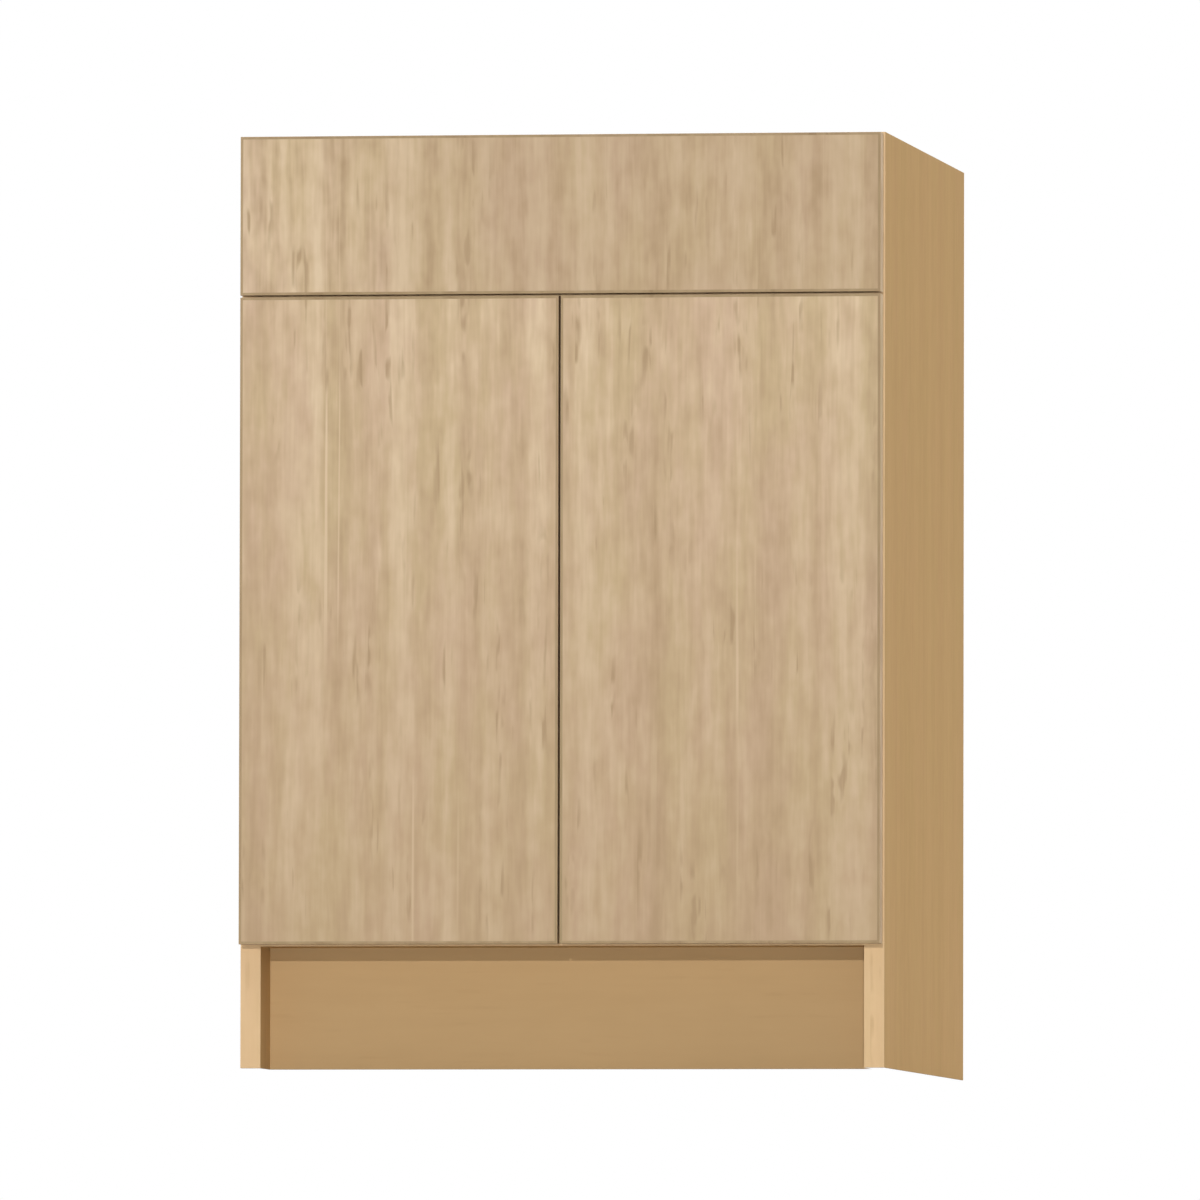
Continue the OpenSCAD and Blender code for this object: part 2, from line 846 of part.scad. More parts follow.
module link_outline(a, elbow, b) {
    difference() {
        union() {
            for (p = [a, b])
                translate(p) circle(d = link_eye_d);
            translate(elbow) circle(d = link_t);
            link_bar(a, elbow);
            link_bar(elbow, b);
        }
        for (p = [a, b])
            translate(p) circle(d = pivot_d + 2 * pivot_gap);
    }
}

// Two cheeks and the bridge behind the pivot in the arm
module outer_link() {
    both_cheeks(outer_link_w) link_outline(outer_arm_pin, outer_elbow, outer_cup_pin);
    translate([outer_arm_pin[0], outer_arm_pin[1], 0])
        block(
            [-link_eye_d / 4, link_eye_d / 2 - bridge_bite, -outer_link_w[1]],
            [link_eye_d / 4, link_eye_d / 2 + link_t / 2, outer_link_w[1]]);
}

module inner_link() {
    translate([0, 0, -inner_link_w])
        linear_extrude(2 * inner_link_w)
            link_outline(inner_arm_pin, inner_elbow, inner_cup_pin);
}

module cup_flange_outline() {
    difference() {
        union() {
            circle(r = cup_inner_r + cup_rim_w);
            for (w = [-cup_screw_spacing / 2, cup_screw_spacing / 2])
                translate([cup_screw_offset, w]) circle(r = cup_ear_r);
            translate([cup_screw_offset - cup_ear_r, -cup_screw_spacing / 2])
                square([2 * cup_ear_r, cup_screw_spacing]);
        }
        circle(r = cup_inner_r);
        translate([-cup_d, -arm_cheek[1]]) square([cup_d - cup_inner_r + cup_notch_l, 2 * arm_cheek[1]]);
    }
}

module cup_screws_at(hole) {
    for (w = [-cup_screw_spacing / 2, cup_screw_spacing / 2])
        translate([cup_u + cup_screw_offset, door_back_v + cup_flange_t, w])
            rotate([90, 0, 0]) screw_or_hole(cup_screw_l, hole);
}

module hinge_cup() {
    difference() {
        union() {
            difference() {
                rod_y([cup_u, door_back_v - cup_depth, 0], cup_d / 2, cup_depth);
                rod_y([cup_u, cup_floor_v, 0], cup_inner_r, cup_depth);
            }
            translate([cup_u, door_back_v, 0])
                rotate([-90, 0, 0]) linear_extrude(cup_flange_t) cup_flange_outline();
            intersection() {
                rod_y([cup_u, cup_floor_v - eps, 0], cup_inner_r + eps, cup_depth - cup_wall);
                cup_bearings();
            }
        }
        cup_screws_at(true);
        link_notch();
    }
}

// Room in the rim of the cup for the outer link of an open door
module link_notch() {
    block(
        [0, door_back_v - cup_notch_depth, -cup_notch_w],
        [cup_u - cup_inner_r + cup_notch_l, door_back_v + eps, cup_notch_w]);
}

// Fins for the pin of the inner link, and cheeks for the pins of the outer link
module cup_bearings() {
    half_w = link_eye_d / 2;
    both_cheeks(cup_fin)
        bearing_outline(inner_cup_pin, inner_cup_pin[0] - half_w);
    both_cheeks(cup_cheek)
        bearing_outline(outer_cup_pin, 0);
}

// From u0 to just past the pin, and from the floor of the cup to just above it
module bearing_outline(pin, u0) {
    half_w = link_eye_d / 2;
    floor_v = cup_floor_v - cup_wall;
    difference() {
        translate([u0, floor_v]) square([pin[0] + half_w - u0, pin[1] + half_w - floor_v]);
        translate(pin) circle(d = pivot_d + 2 * pivot_gap);
    }
}

module cup_pins() {
    both_cheeks([outer_link_w[0] - fit_gap, cup_cheek[1]])
        translate(outer_cup_pin) circle(d = pivot_d);
    translate([inner_cup_pin[0], inner_cup_pin[1], -cup_fin[1]])
        cylinder(h = 2 * cup_fin[1], d = pivot_d);
}

module left_hinge_plates() {
    color(steel_colour) at_hinges() hinge_plate();
}

module right_hinge_plates() {
    right_side() left_hinge_plates();
}

module left_hinge_arms() {
    color(steel_colour) at_hinges() hinge_arm();
}

module right_hinge_arms() {
    right_side() left_hinge_arms();
}

module hinge_arm_pins() {
    color(cast_colour) both_sides() at_hinges() hinge_pins_of_arm();
}

module left_outer_links() {
    color(steel_colour) at_hinges() outer_link();
}

module right_outer_links() {
    right_side() left_outer_links();
}

module left_inner_links() {
    color(cast_colour) at_hinges() inner_link();
}

module right_inner_links() {
    right_side() left_inner_links();
}

// Screws that hold the fittings on the carcass
module carcass_screws() {
    color(steel_colour)
        both_sides() {
            at_hinges() plate_screws(false);
            at_hinges() arm_screws(false);
            outer_slide_screws(false);
            latch_screws(false);
        }
}

// Doors
module door_cuts() {
    at_hinges() {
        rod_y(
            [cup_u, door_back_v - cup_depth - fit_gap, 0],
            cup_d / 2 + fit_gap, cup_depth + fit_gap + eps);
        cup_screws_at(true);
    }
}

module left_door() {
    color(front_colour)
        difference() {
            front_core(-side_x + front_reveal, door_z, door_w, door_h);
            door_cuts();
        }
}

module right_door() {
    right_side() left_door();
}

module left_door_edge_bands() {
    color(band_colour) front_bands(-side_x + front_reveal, door_z, door_w, door_h);
}

module right_door_edge_bands() {
    right_side() left_door_edge_bands();
}

module left_hinge_cups() {
    color(steel_colour) at_hinges() hinge_cup();
}

module right_hinge_cups() {
    right_side() left_hinge_cups();
}

module left_cup_pins() {
    color(cast_colour) at_hinges() cup_pins();
}

module right_cup_pins() {
    right_side() left_cup_pins();
}

module left_cup_screws() {
    color(steel_colour) at_hinges() cup_screws_at(false);
}

module right_cup_screws() {
    right_side() left_cup_screws();
}

module left_strike_plate() {
    color(steel_colour) rod_y([-latch_inset, door_back_y, door_latch_z], strike_d / 2, strike_t);
}

module right_strike_plate() {
    right_side() left_strike_plate();
}

// Push latches, with the plunger along y and the rail above
module latch_housing() {
    difference() {
        union() {
            block([-latch_w / 2, latch_front_v, -latch_h / 2], [latch_w / 2, latch_front_v + latch_l, latch_h / 2]);
            block(
                [-latch_w / 2 - latch_ear_w, latch_ear_v, latch_h / 2 - latch_ear_t],
                [latch_w / 2 + latch_ear_w, latch_ear_v + latch_ear_l, latch_h / 2]);
        }
        rod_y([0, latch_front_v - eps, 0], plunger_d / 2 + fit_gap, plunger_l - latch_front_v);
        latch_ear_screws(true);
    }
}

module latch_ear_screws(hole) {
    for (x = [-1, 1])
        translate([
            x * (latch_w + latch_ear_w) / 2, latch_ear_v + latch_ear_l / 2,
            latch_h / 2 - latch_ear_t])
            screw_or_hole(latch_screw_l, hole);
}

module at_door_latch() {
    translate([latch_inset, carcass_y, door_latch_z]) children();
}

module at_drawer_latch() {
    translate([0, carcass_y, drawer_latch_z]) rotate([0, 180, 0]) children();
}

module latch_housings() {
    color(plastic_colour) {
        both_sides() at_door_latch() latch_housing();
        at_drawer_latch() latch_housing();
    }
}

module latch_screws(hole) {
    at_door_latch() latch_ear_screws(hole);
    at_drawer_latch() drawer_latch_screw(hole);
}

// One of the two, because the other is its mirror image
module drawer_latch_screw(hole) {
    translate([
        -(latch_w + latch_ear_w) / 2, latch_ear_v + latch_ear_l / 2,
        latch_h / 2 - latch_ear_t])
        screw_or_hole(latch_screw_l, hole);
}

module plunger(tip_y, z) {
    chamfer = 0.8;
    tip_r = plunger_d / 2 - chamfer;
    translate([0, tip_y, z])
        rotate([-90, 0, 0])
            rotate_extrude()
                polygon([
                    [0, 0], [tip_r, 0], [plunger_d / 2, chamfer],
                    [plunger_d / 2, plunger_l], [0, plunger_l]]);
}

module right_latch_plunger() {
    color("white")
        translate([latch_inset, 0, 0]) plunger(door_back_y + strike_t + seat_gap, door_latch_z);
}

module left_latch_plunger() {
    right_side() right_latch_plunger();
}

module drawer_latch_plunger() {
    color("white") plunger(door_back_y + seat_gap, drawer_latch_z);
}

// Drawer
module front_screws(hole) {
    for (z = front_screw_zs)
        translate([front_screw_x, door_back_y + drawer_side_t, z])
            rotate([90, 0, 0]) screw_or_hole(drawer_side_t + front_screw_bite, hole);
}

module drawer_front() {
    color(front_colour)
        difference() {
            front_core(-front_w / 2, drawer_front_z, front_w, drawer_front_h);
            both_sides() front_screws(true);
        }
}

module drawer_front_edge_bands() {
    color(band_colour) front_bands(-front_w / 2, drawer_front_z, front_w, drawer_front_h);
}

module drawer_front_screws() {
    color(steel_colour) both_sides() front_screws(false);
}

// Dovetails between y_end and y_root, seen from the side
module tails(y_end, y_root, extra) {
    for (i = [0 : tail_count - 1]) {
        z = box_z + (i + 0.5) * tail_pitch;
        end_w = tail_w / 2 + extra;
        root_w = end_w - tail_flare;
        heel_y = y_root + sign(y_root - y_end) * overrun;
        polygon([
            [y_end, z - end_w], [y_end, z + end_w], [y_root, z + root_w], [heel_y, z + root_w],
            [heel_y, z - root_w], [y_root, z - root_w]]);
    }
}

module both_ends_tails(extra) {
    tails(door_back_y, door_back_y + drawer_side_t, extra);
    tails(box_rear_y, box_rear_y - drawer_side_t, extra);
}

module bottom_space(extra) {
    half_w = box_half_w - drawer_side_t + drawer_groove_depth - fit_gap + extra;
    y0 = door_back_y + drawer_side_t - drawer_groove_depth + fit_gap - extra;
    y1 = box_rear_y - drawer_side_t + drawer_groove_depth - fit_gap + extra;
    block([-half_w, y0, bottom_z - extra], [half_w, y1, bottom_z + drawer_bottom_t + extra]);
}

module drawer_right_side() {
    color(box_colour)
        difference() {
            union() {
                along_u(box_half_w - drawer_side_t, drawer_side_t)
                    translate([door_back_y + drawer_side_t, box_z])
                        square([box_l - 2 * drawer_side_t, drawer_box_h]);
                along_u(box_half_w - drawer_side_t, drawer_side_t) both_ends_tails(0);
            }
            bottom_space(fit_gap);
            inner_slide_screws(true);
        }
}

module drawer_left_side() {
    right_side() drawer_right_side();
}

module box_end(y) {
    color(box_colour)
        difference() {
            block([-box_half_w, y, box_z], [box_half_w, y + drawer_side_t, box_z + drawer_box_h]);
            both_sides()
                along_u(box_half_w - drawer_side_t, drawer_side_t + overrun)
                    both_ends_tails(fit_gap);
            bottom_space(fit_gap);
            both_sides() front_screws(true);
        }
}

module drawer_box_front() {
    box_end(door_back_y);
}

module drawer_box_back() {
    box_end(box_rear_y - drawer_side_t);
}

module drawer_bottom() {
    color(back_colour) bottom_space(0);
}

// Ball bearing slides, drawn for the right side
module slide_bar(y, l) {
    translate([inner_x, y + l, slide_z])
        mirror([1, 0, 0]) rotate([90, 0, 0]) linear_extrude(l) children();
}

// A channel with its web at x0, flanges to x1 and lips on the flanges
module channel_profile(web_x, top_z, edge_x, lip_h) {
    translate([web_x, -top_z]) square([slide_steel_t, 2 * top_z]);
    for (m = [0, 1])
        mirror([0, m]) {
            translate([min(web_x, edge_x), top_z - slide_steel_t])
                square([abs(edge_x - web_x) + slide_steel_t, slide_steel_t]);
            translate([edge_x, top_z - lip_h]) square([slide_steel_t, lip_h]);
        }
}

module right_slide_cabinet_member() {
    color(steel_colour)
        difference() {
            slide_bar(slide_y, slide_l)
                channel_profile(0, slide_h / 2, outer_lip_x, outer_lip_h);
            outer_slide_screws(true);
        }
}

module left_slide_cabinet_member() {
    right_side() right_slide_cabinet_member();
}

module right_slide_middle_member() {
    color(steel_colour)
        slide_bar(slide_y, slide_l)
            channel_profile(middle_web_x, middle_top_z, middle_lip_x, middle_lip_h);
}

module left_slide_middle_member() {
    right_side() right_slide_middle_member();
}

module right_slide_drawer_member() {
    color(steel_colour)
        difference() {
            slide_bar(slide_y, slide_l)
                channel_profile(slide_t - slide_steel_t, drawer_top_z, drawer_flange_x, slide_steel_t);
            inner_slide_screws(true);
        }
}

module left_slide_drawer_member() {
    right_side() right_slide_drawer_member();
}

module drawer_slide_screws() {
    color(steel_colour) both_sides() inner_slide_screws(false);
}

// Rows of balls in a strip, above and below the middle of each slide
module ball_cages(row_x, row_z, ball_d, strip) {
    both_sides()
        for (side = [-1, 1]) {
            z = slide_z + side * row_z;
            difference() {
                block(
                    [inner_x - strip[1], cage_y, z - cage_t / 2],
                    [inner_x - strip[0], cage_y + cage_l, z + cage_t / 2]);
                for (i = [0 : ball_count - 1])
                    rod_z([inner_x - row_x, ball_y(i), z - cage_t], ball_d / 2 + fit_gap, 2 * cage_t);
            }
            for (i = [0 : ball_count - 1])
                translate([inner_x - row_x, ball_y(i), z]) sphere(d = ball_d);
        }
}

function ball_y(i) = cage_y + cage_l / 2 + (i - (ball_count - 1) / 2) * ball_pitch;

module slide_outer_ball_cages() {
    color(plastic_colour)
        ball_cages(
            outer_row_x, outer_row_z, outer_ball_d,
            [slide_steel_t + cage_gap, outer_lip_x - cage_gap]);
}

module slide_inner_ball_cages() {
    color(plastic_colour)
        ball_cages(
            inner_row_x, inner_row_z, inner_ball_d,
            [middle_web_x + slide_steel_t + cage_gap, middle_lip_x - cage_gap]);
}

left_side_panel();
right_side_panel();
bottom_panel();
back_panel();
top_front_rail();
top_back_rail();
middle_rail();
toe_kick_board();
top_nailer();
bottom_nailer();
shelf();
shelf_pins();
carcass_edge_bands();
cam_fittings();
cam_bolts();
dowels();
left_hinge_plates();
right_hinge_plates();
left_hinge_arms();
right_hinge_arms();
hinge_arm_pins();
carcass_screws();
left_slide_cabinet_member();
right_slide_cabinet_member();
latch_housings();
left_door();
left_door_edge_bands();
left_hinge_cups();
left_cup_pins();
left_cup_screws();
left_strike_plate();
right_door();
right_door_edge_bands();
right_hinge_cups();
right_cup_pins();
right_cup_screws();
right_strike_plate();
left_outer_links();
right_outer_links();
left_inner_links();
right_inner_links();
left_latch_plunger();
right_latch_plunger();
drawer_latch_plunger();
drawer_front();
drawer_front_edge_bands();
drawer_box_front();
drawer_box_back();
drawer_left_side();
drawer_right_side();
drawer_bottom();
drawer_front_screws();
left_slide_drawer_member();
right_slide_drawer_member();
drawer_slide_screws();
left_slide_middle_member();
right_slide_middle_member();
slide_outer_ball_cages();
slide_inner_ball_cages();
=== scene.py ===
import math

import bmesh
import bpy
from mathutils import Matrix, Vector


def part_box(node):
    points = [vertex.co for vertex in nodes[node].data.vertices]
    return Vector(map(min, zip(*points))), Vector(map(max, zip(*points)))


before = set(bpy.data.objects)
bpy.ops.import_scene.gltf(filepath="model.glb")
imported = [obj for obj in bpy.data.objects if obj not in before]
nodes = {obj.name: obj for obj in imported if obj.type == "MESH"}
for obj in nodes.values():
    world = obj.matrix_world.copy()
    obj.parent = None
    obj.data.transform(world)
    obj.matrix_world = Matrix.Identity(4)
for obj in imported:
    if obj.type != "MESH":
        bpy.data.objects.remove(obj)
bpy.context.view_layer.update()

# %% [markdown]
# This lesson dresses a kitchen base cabinet, a drawer over a pair of doors, that was
# already built as exact solids. Every board, hinge and slide keeps its shape. What
# Blender adds is the finish of each surface, the studio light and the camera.
# The box of the side panel is read first, and its height printed.

side_low, side_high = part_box("left_side_panel")
print(len(nodes), "nodes; the side panel is", round(side_high.z - side_low.z, 4), "m high")

# %% [markdown]
# The camera and the lights are placed by two angles around the cabinet: an azimuth,
# nought in front and growing to the right, and an elevation above the floor's level.
# One helper gives the direction for them, and another turns a camera or a lamp to look
# back at the cabinet. A constraint could aim them too, but plain angles are easier to
# compare with the picture. All angles here are in degrees.

# %% Directions


def direction(azimuth, elevation):
    """From the object towards a place around it, with azimuth 0 in front."""
    azimuth = math.radians(azimuth)
    elevation = math.radians(elevation)
    flat = math.cos(elevation)
    return (
        math.sin(azimuth) * flat,
        -math.cos(azimuth) * flat,
        math.sin(elevation))


def turn_towards(azimuth, elevation, roll=0):
    """The rotation of a camera or a light that looks back along direction()."""
    turn = Matrix.Rotation(math.radians(azimuth), 4, "Z")
    turn = turn @ Matrix.Rotation(math.pi / 2 - math.radians(elevation), 4, "X")
    return (turn @ Matrix.Rotation(math.radians(roll), 4, "Z")).to_euler()


print("straight in front:", direction(0, 0))

# %% [markdown]
# The picture shows the front almost square on, with a narrow strip of the right side,
# and the edges hardly converge. A long lens from far away gives that. The camera stands
# a little to the right and slightly below floor level, because in the picture both the
# upper and the lower edge of the side panel sink towards the back. An orthographic
# camera would keep those two edges parallel, and in the picture they come closer.
# Distances are in metres, and the lens and the sensor in millimetres.

# %% Camera
CAMERA_AZIMUTH = 8.27
CAMERA_ELEVATION = -2.55
CAMERA_ROLL = 0.11
CAMERA_DISTANCE = 18.9
CAMERA_AIM = (-0.0055, 0.0, 0.4513)
LENS = 595.6
SENSOR_WIDTH = 36
FAR_CLIP = 200

camera_data = bpy.data.cameras.new("camera")
camera_data.lens = LENS
camera_data.sensor_width = SENSOR_WIDTH
camera_data.clip_end = FAR_CLIP
camera = bpy.data.objects.new("camera", camera_data)
away = direction(CAMERA_AZIMUTH, CAMERA_ELEVATION)
camera.location = [a + CAMERA_DISTANCE * d for a, d in zip(CAMERA_AIM, away)]
camera.rotation_euler = turn_towards(CAMERA_AZIMUTH, CAMERA_ELEVATION, CAMERA_ROLL)
bpy.context.scene.collection.objects.link(camera)
bpy.context.scene.camera = camera
print("camera", CAMERA_AZIMUTH, "degrees to the right, at", [round(c, 2) for c in camera.location])

# %% [markdown]
# A studio lights an object evenly from every side. Area lamps could do that, but a sun
# lamp shines the same wherever it stands, and a wide angle makes it as soft as a big
# white screen. The key has a small angle, because the picture has a crisp shadow 15 mm
# deep under the doors, and the height of that shadow tells how steeply the key shines.
# The fill shines from beside the camera, so it reaches into every gap that the camera
# sees.

# %% Lights
LIGHTS = {
    "key": {"azimuth": 0, "elevation": 10.1, "angle": 0.6, "strength": 1.1},
    "fill": {"azimuth": CAMERA_AZIMUTH, "elevation": -2.5, "angle": 2, "strength": 0.9},
    "right": {"azimuth": 88, "elevation": 12, "angle": 40, "strength": 1.5},
    "left": {"azimuth": -95, "elevation": 20, "angle": 40, "strength": 1.4},
    "back": {"azimuth": 175, "elevation": 30, "angle": 40, "strength": 1.3},
    "top": {"azimuth": 20, "elevation": 80, "angle": 50, "strength": 0.9}}


def add_sun(name, azimuth, elevation, angle, strength):
    data = bpy.data.lights.new(name, "SUN")
    data.angle = math.radians(angle)
    data.energy = strength
    lamp = bpy.data.objects.new(name, data)
    lamp.rotation_euler = turn_towards(azimuth, elevation)
    bpy.context.scene.collection.objects.link(lamp)


for name, values in LIGHTS.items():
    add_sun(name, **values)
print("lights:", ", ".join(LIGHTS))

# %% [markdown]
# The world and the materials are built from nodes. Written out node by node their
# recipes would fill many pages, so a few short helpers keep them readable. A socket
# gets either a number or the output of another node.

# %% Helpers for nodes


def plug(tree, socket, value):
    if isinstance(value, bpy.types.NodeSocket):
        tree.links.new(value, socket)
    else:
        socket.default_value = value


def add_node(tree, kind, inputs=None, **settings):
    """A shader node with its settings, and its inputs by name or by number."""
    made = tree.nodes.new("ShaderNode" + kind)
    for name, value in settings.items():
        setattr(made, name, value)
    for name, value in (inputs or {}).items():
        plug(tree, made.inputs[name], value)
    return made


print("nodes can be added")

# %% [markdown]
# The background of the picture is pure white. The world is white where the camera
# looks at it, and dimmer where it lights the object, so the wood keeps its colour. A
# photographed studio could serve as the world, but its colours would tint the wood.
# The Standard view transform keeps the colours as they were mixed.

# %% World
WHITE = (1, 1, 1, 1)
WORLD_LIGHT = 0.16

world = bpy.data.worlds.new("studio")
world.use_nodes = True
bpy.context.scene.world = world
bpy.context.scene.view_settings.view_transform = "Standard"
sky = world.node_tree
sky.nodes.clear()
seen = add_node(sky, "Background", {"Color": WHITE})
lighting = add_node(sky, "Background", {"Color": WHITE, "Strength": WORLD_LIGHT})
sky_ray = add_node(sky, "LightPath")
choice = add_node(sky, "MixShader", {
    "Fac": sky_ray.outputs["Is Camera Ray"], 1: lighting.outputs["Background"],
    2: seen.outputs["Background"]})
add_node(sky, "OutputWorld", {"Surface": choice.outputs["Shader"]})
print("world light", WORLD_LIGHT)

# %% [markdown]
# Blender mixes amounts of light, but in a picture we read shades from 0 to 255. So the
# colours are written as shades and turned into light by the standard curve of screens.
# A wood has four: the pale and the dark ends of its tone, and a warm and a cool shade
# between them.

# %% Colours


def light_value(shade):
    share = shade / 255
    return share / 12.92 if share <= 0.04045 else ((share + 0.055) / 1.055) ** 2.4


def picture_colour(red, green, blue):
    return (light_value(red), light_value(green), light_value(blue), 1.0)


def wood_colours(pale, warm, cool, dark):
    """The colours of a wood, under the names of the grain group's inputs."""
    shades = {"Pale": pale, "Warm": warm, "Cool": cool, "Dark": dark}
    return {name: picture_colour(*shade) for name, shade in shades.items()}


print("half grey gives", round(light_value(128), 3), "of the light")

# %% [markdown]
# A pattern is a sum or a product of simpler ones. Noise gives clouds, multiplying its
# coordinates draws the clouds out into streaks, and a part of its values can be spread
# over a new range, which turns it into a mask. Each of these is a node in the shader
# editor too, so the same patterns could be put together by hand.

# %% Helpers for patterns


def maths(tree, operation, a, b=0.0):
    return add_node(tree, "Math", {0: a, 1: b}, operation=operation).outputs[0]


def product(tree, first, *others):
    for other in others:
        first = maths(tree, "MULTIPLY", first, other)
    return first


def spread(tree, value, low_in, high_in, low_out=0.0, high_out=1.0):
    """A value from one range carried over to another, and held inside it."""
    made = add_node(tree, "MapRange", {
        "Value": value, "From Min": low_in, "From Max": high_in,
        "To Min": low_out, "To Max": high_out}, clamp=True)
    return made.outputs["Result"]


def mix_colours(tree, share, a, b):
    return add_node(tree, "Mix", {0: share, 6: a, 7: b}, data_type="RGBA").outputs[2]


def vectors(tree, operation, a, b):
    return add_node(tree, "VectorMath", {0: a, 1: b}, operation=operation)


def noise(tree, place, scale, detail=2.0, roughness=0.5):
    made = add_node(tree, "TexNoise", {
        "Vector": place, "Scale": scale, "Detail": detail, "Roughness": roughness})
    return made.outputs["Fac"]


print("patterns can be made")

# %% [markdown]
# Several finishes share the same effect, such as grain, so each effect is a node group
# with named inputs and outputs. Copied nodes would look the same, but each correction
# would then have to be made in every material. A group here puts out colours, masks,
# heights and a roughness only. The shader itself stays in each material.

# %% Helpers for node groups
SOCKETS = {
    "colour": "NodeSocketColor", "value": "NodeSocketFloat", "vector": "NodeSocketVector"}


def new_group(name, inputs, outputs):
    """A node group with its sockets; returns the group, its inputs and its outputs."""
    group = bpy.data.node_groups.new(name, "ShaderNodeTree")
    for way, sockets in (("INPUT", inputs), ("OUTPUT", outputs)):
        for label, kind, *start in sockets:
            socket = group.interface.new_socket(label, in_out=way, socket_type=SOCKETS[kind])
            if start:
                socket.default_value = start[0]
    given = group.nodes.new("NodeGroupInput").outputs
    result = group.nodes.new("NodeGroupOutput").inputs
    return group, given, result


def use_group(tree, group, inputs):
    made = tree.nodes.new("ShaderNodeGroup")
    made.node_tree = group
    for name, value in inputs.items():
        plug(tree, made.inputs[name], value)
    return made.outputs


print("groups can be made")

# %% [markdown]
# Wood is light and dark streaks that run along the board. Four layers of noise add up
# to one tone, which moves the colour between pale and dark: bands that run the whole
# height, a soft mottle that is hardly longer than wide, streaks, and fine fibres. Each
# layer has its width in metres and a squeeze of its coordinates; a small last number
# there draws it out along Z, where the grain runs. The mottle suits the print on the
# fronts better than real boards, so its strength is an input. A scanned picture of oak
# could stand in for all this, but noise has no seams and stays sharp close up.

# %% Tone of the wood
TONE_ROUGHNESS = 0.55
TONE_LAYERS = {
    "bands": {"width": 0.030, "squeeze": (1, 1, 0.012), "detail": 2.0, "weight": 0.43},
    "mottle": {"width": 0.018, "squeeze": (1, 1, 0.60), "detail": 2.0, "weight": 0.23},
    "streaks": {"width": 0.0085, "squeeze": (1, 1, 0.11), "detail": 2.0, "weight": 0.26},
    "fibres": {"width": 0.0026, "squeeze": (1, 1, 0.05), "detail": 1.0, "weight": 0.08}}


def drawn_noise(tree, place, layer, roughness=0.5):
    """Noise as wide, as drawn out and as detailed as the layer says."""
    squeezed = vectors(tree, "MULTIPLY", place, layer["squeeze"]).outputs["Vector"]
    return noise(tree, squeezed, 1 / layer["width"], layer["detail"], roughness)


def build_tone(group, place, mottle):
    """Light and dark of the grain, around a half; mottle scales the layer of that name."""
    tone = 0.5
    for name, layer in TONE_LAYERS.items():
        values = drawn_noise(group, place, layer, TONE_ROUGHNESS)
        swing = maths(group, "SUBTRACT", values, 0.5)
        if name == "mottle":
            swing = product(group, swing, mottle)
        tone = maths(group, "ADD", tone, product(group, swing, layer["weight"]))
    return tone


print("layers:", ", ".join(TONE_LAYERS))

# %% [markdown]
# Pores are cut vessels, which show as short dark dashes in clusters. A strongly drawn
# out noise gives upright lines, a shorter one breaks them into dashes, and a slow
# cluster pattern keeps only the dashes inside a cluster. The pale lines of the picture
# are narrow, run upright and fade in and out. Faint warm and cool patches lie under it
# all. Each of these is an overlap of layers: every layer is cut to a mask between two
# of its values, and the masks are multiplied. Carved into the mesh, the pores would
# need millions of faces.

# %% Pores, pale lines and patches
PORE_LAYERS = {
    "upright lines": {
        "width": 0.0052, "squeeze": (1, 1, 0.05), "detail": 1.0, "cut": (0.56, 0.67)},
    "breaks": {"width": 0.0095, "squeeze": (1, 1, 0.28), "detail": 1.0, "cut": (0.46, 0.58)},
    "clusters": {"width": 0.038, "squeeze": (1, 1, 0.3), "detail": 1.0, "cut": (0.47, 0.60)}}
LINE_STRENGTH = 0.8
LINE_LAYERS = {
    "narrow lines": {
        "width": 0.0042, "squeeze": (1, 0, 0.004), "detail": 0.0, "cut": (0.72, 0.80)},
    "fading": {
        "width": 1.0, "squeeze": (6, 0, 4), "detail": 1.0,
        "cut": (0.42, 0.58, 0.0, LINE_STRENGTH)}}
PATCH_ROUGHNESS = 0.6
PATCH_LAYERS = {
    "patches": {"width": 1 / 22, "squeeze": (1, 1, 0.25), "detail": 3.0, "cut": (0.36, 0.64)}}


def overlap(tree, place, layers, roughness=0.5):
    """A mask of where all the layers show."""
    masks = [
        spread(tree, drawn_noise(tree, place, layer, roughness), *layer["cut"])
        for layer in layers.values()]
    return product(tree, *masks)


print("pores:", ", ".join(PORE_LAYERS))
print("pale lines:", ", ".join(LINE_LAYERS))

# %% [markdown]
# The grain group puts the tone, the pores, the lines and the patches together. Real
# grain is never quite straight, so a slow noise first sways the coordinates sideways.
# The tone lifts the colour towards pale above a half and shades it towards dark below.
# The group expects the grain to run along Z, so each material turns its coordinates
# first.

# %% Wood grain group
SWAY = 0.005
SWAY_SCALE = 3.0
LIFT = (0.5, 0.64, 0.0, 0.9)
SHADE = (0.5, 0.36, 0.0, 0.6)
PORE_DARKNESS = 0.75


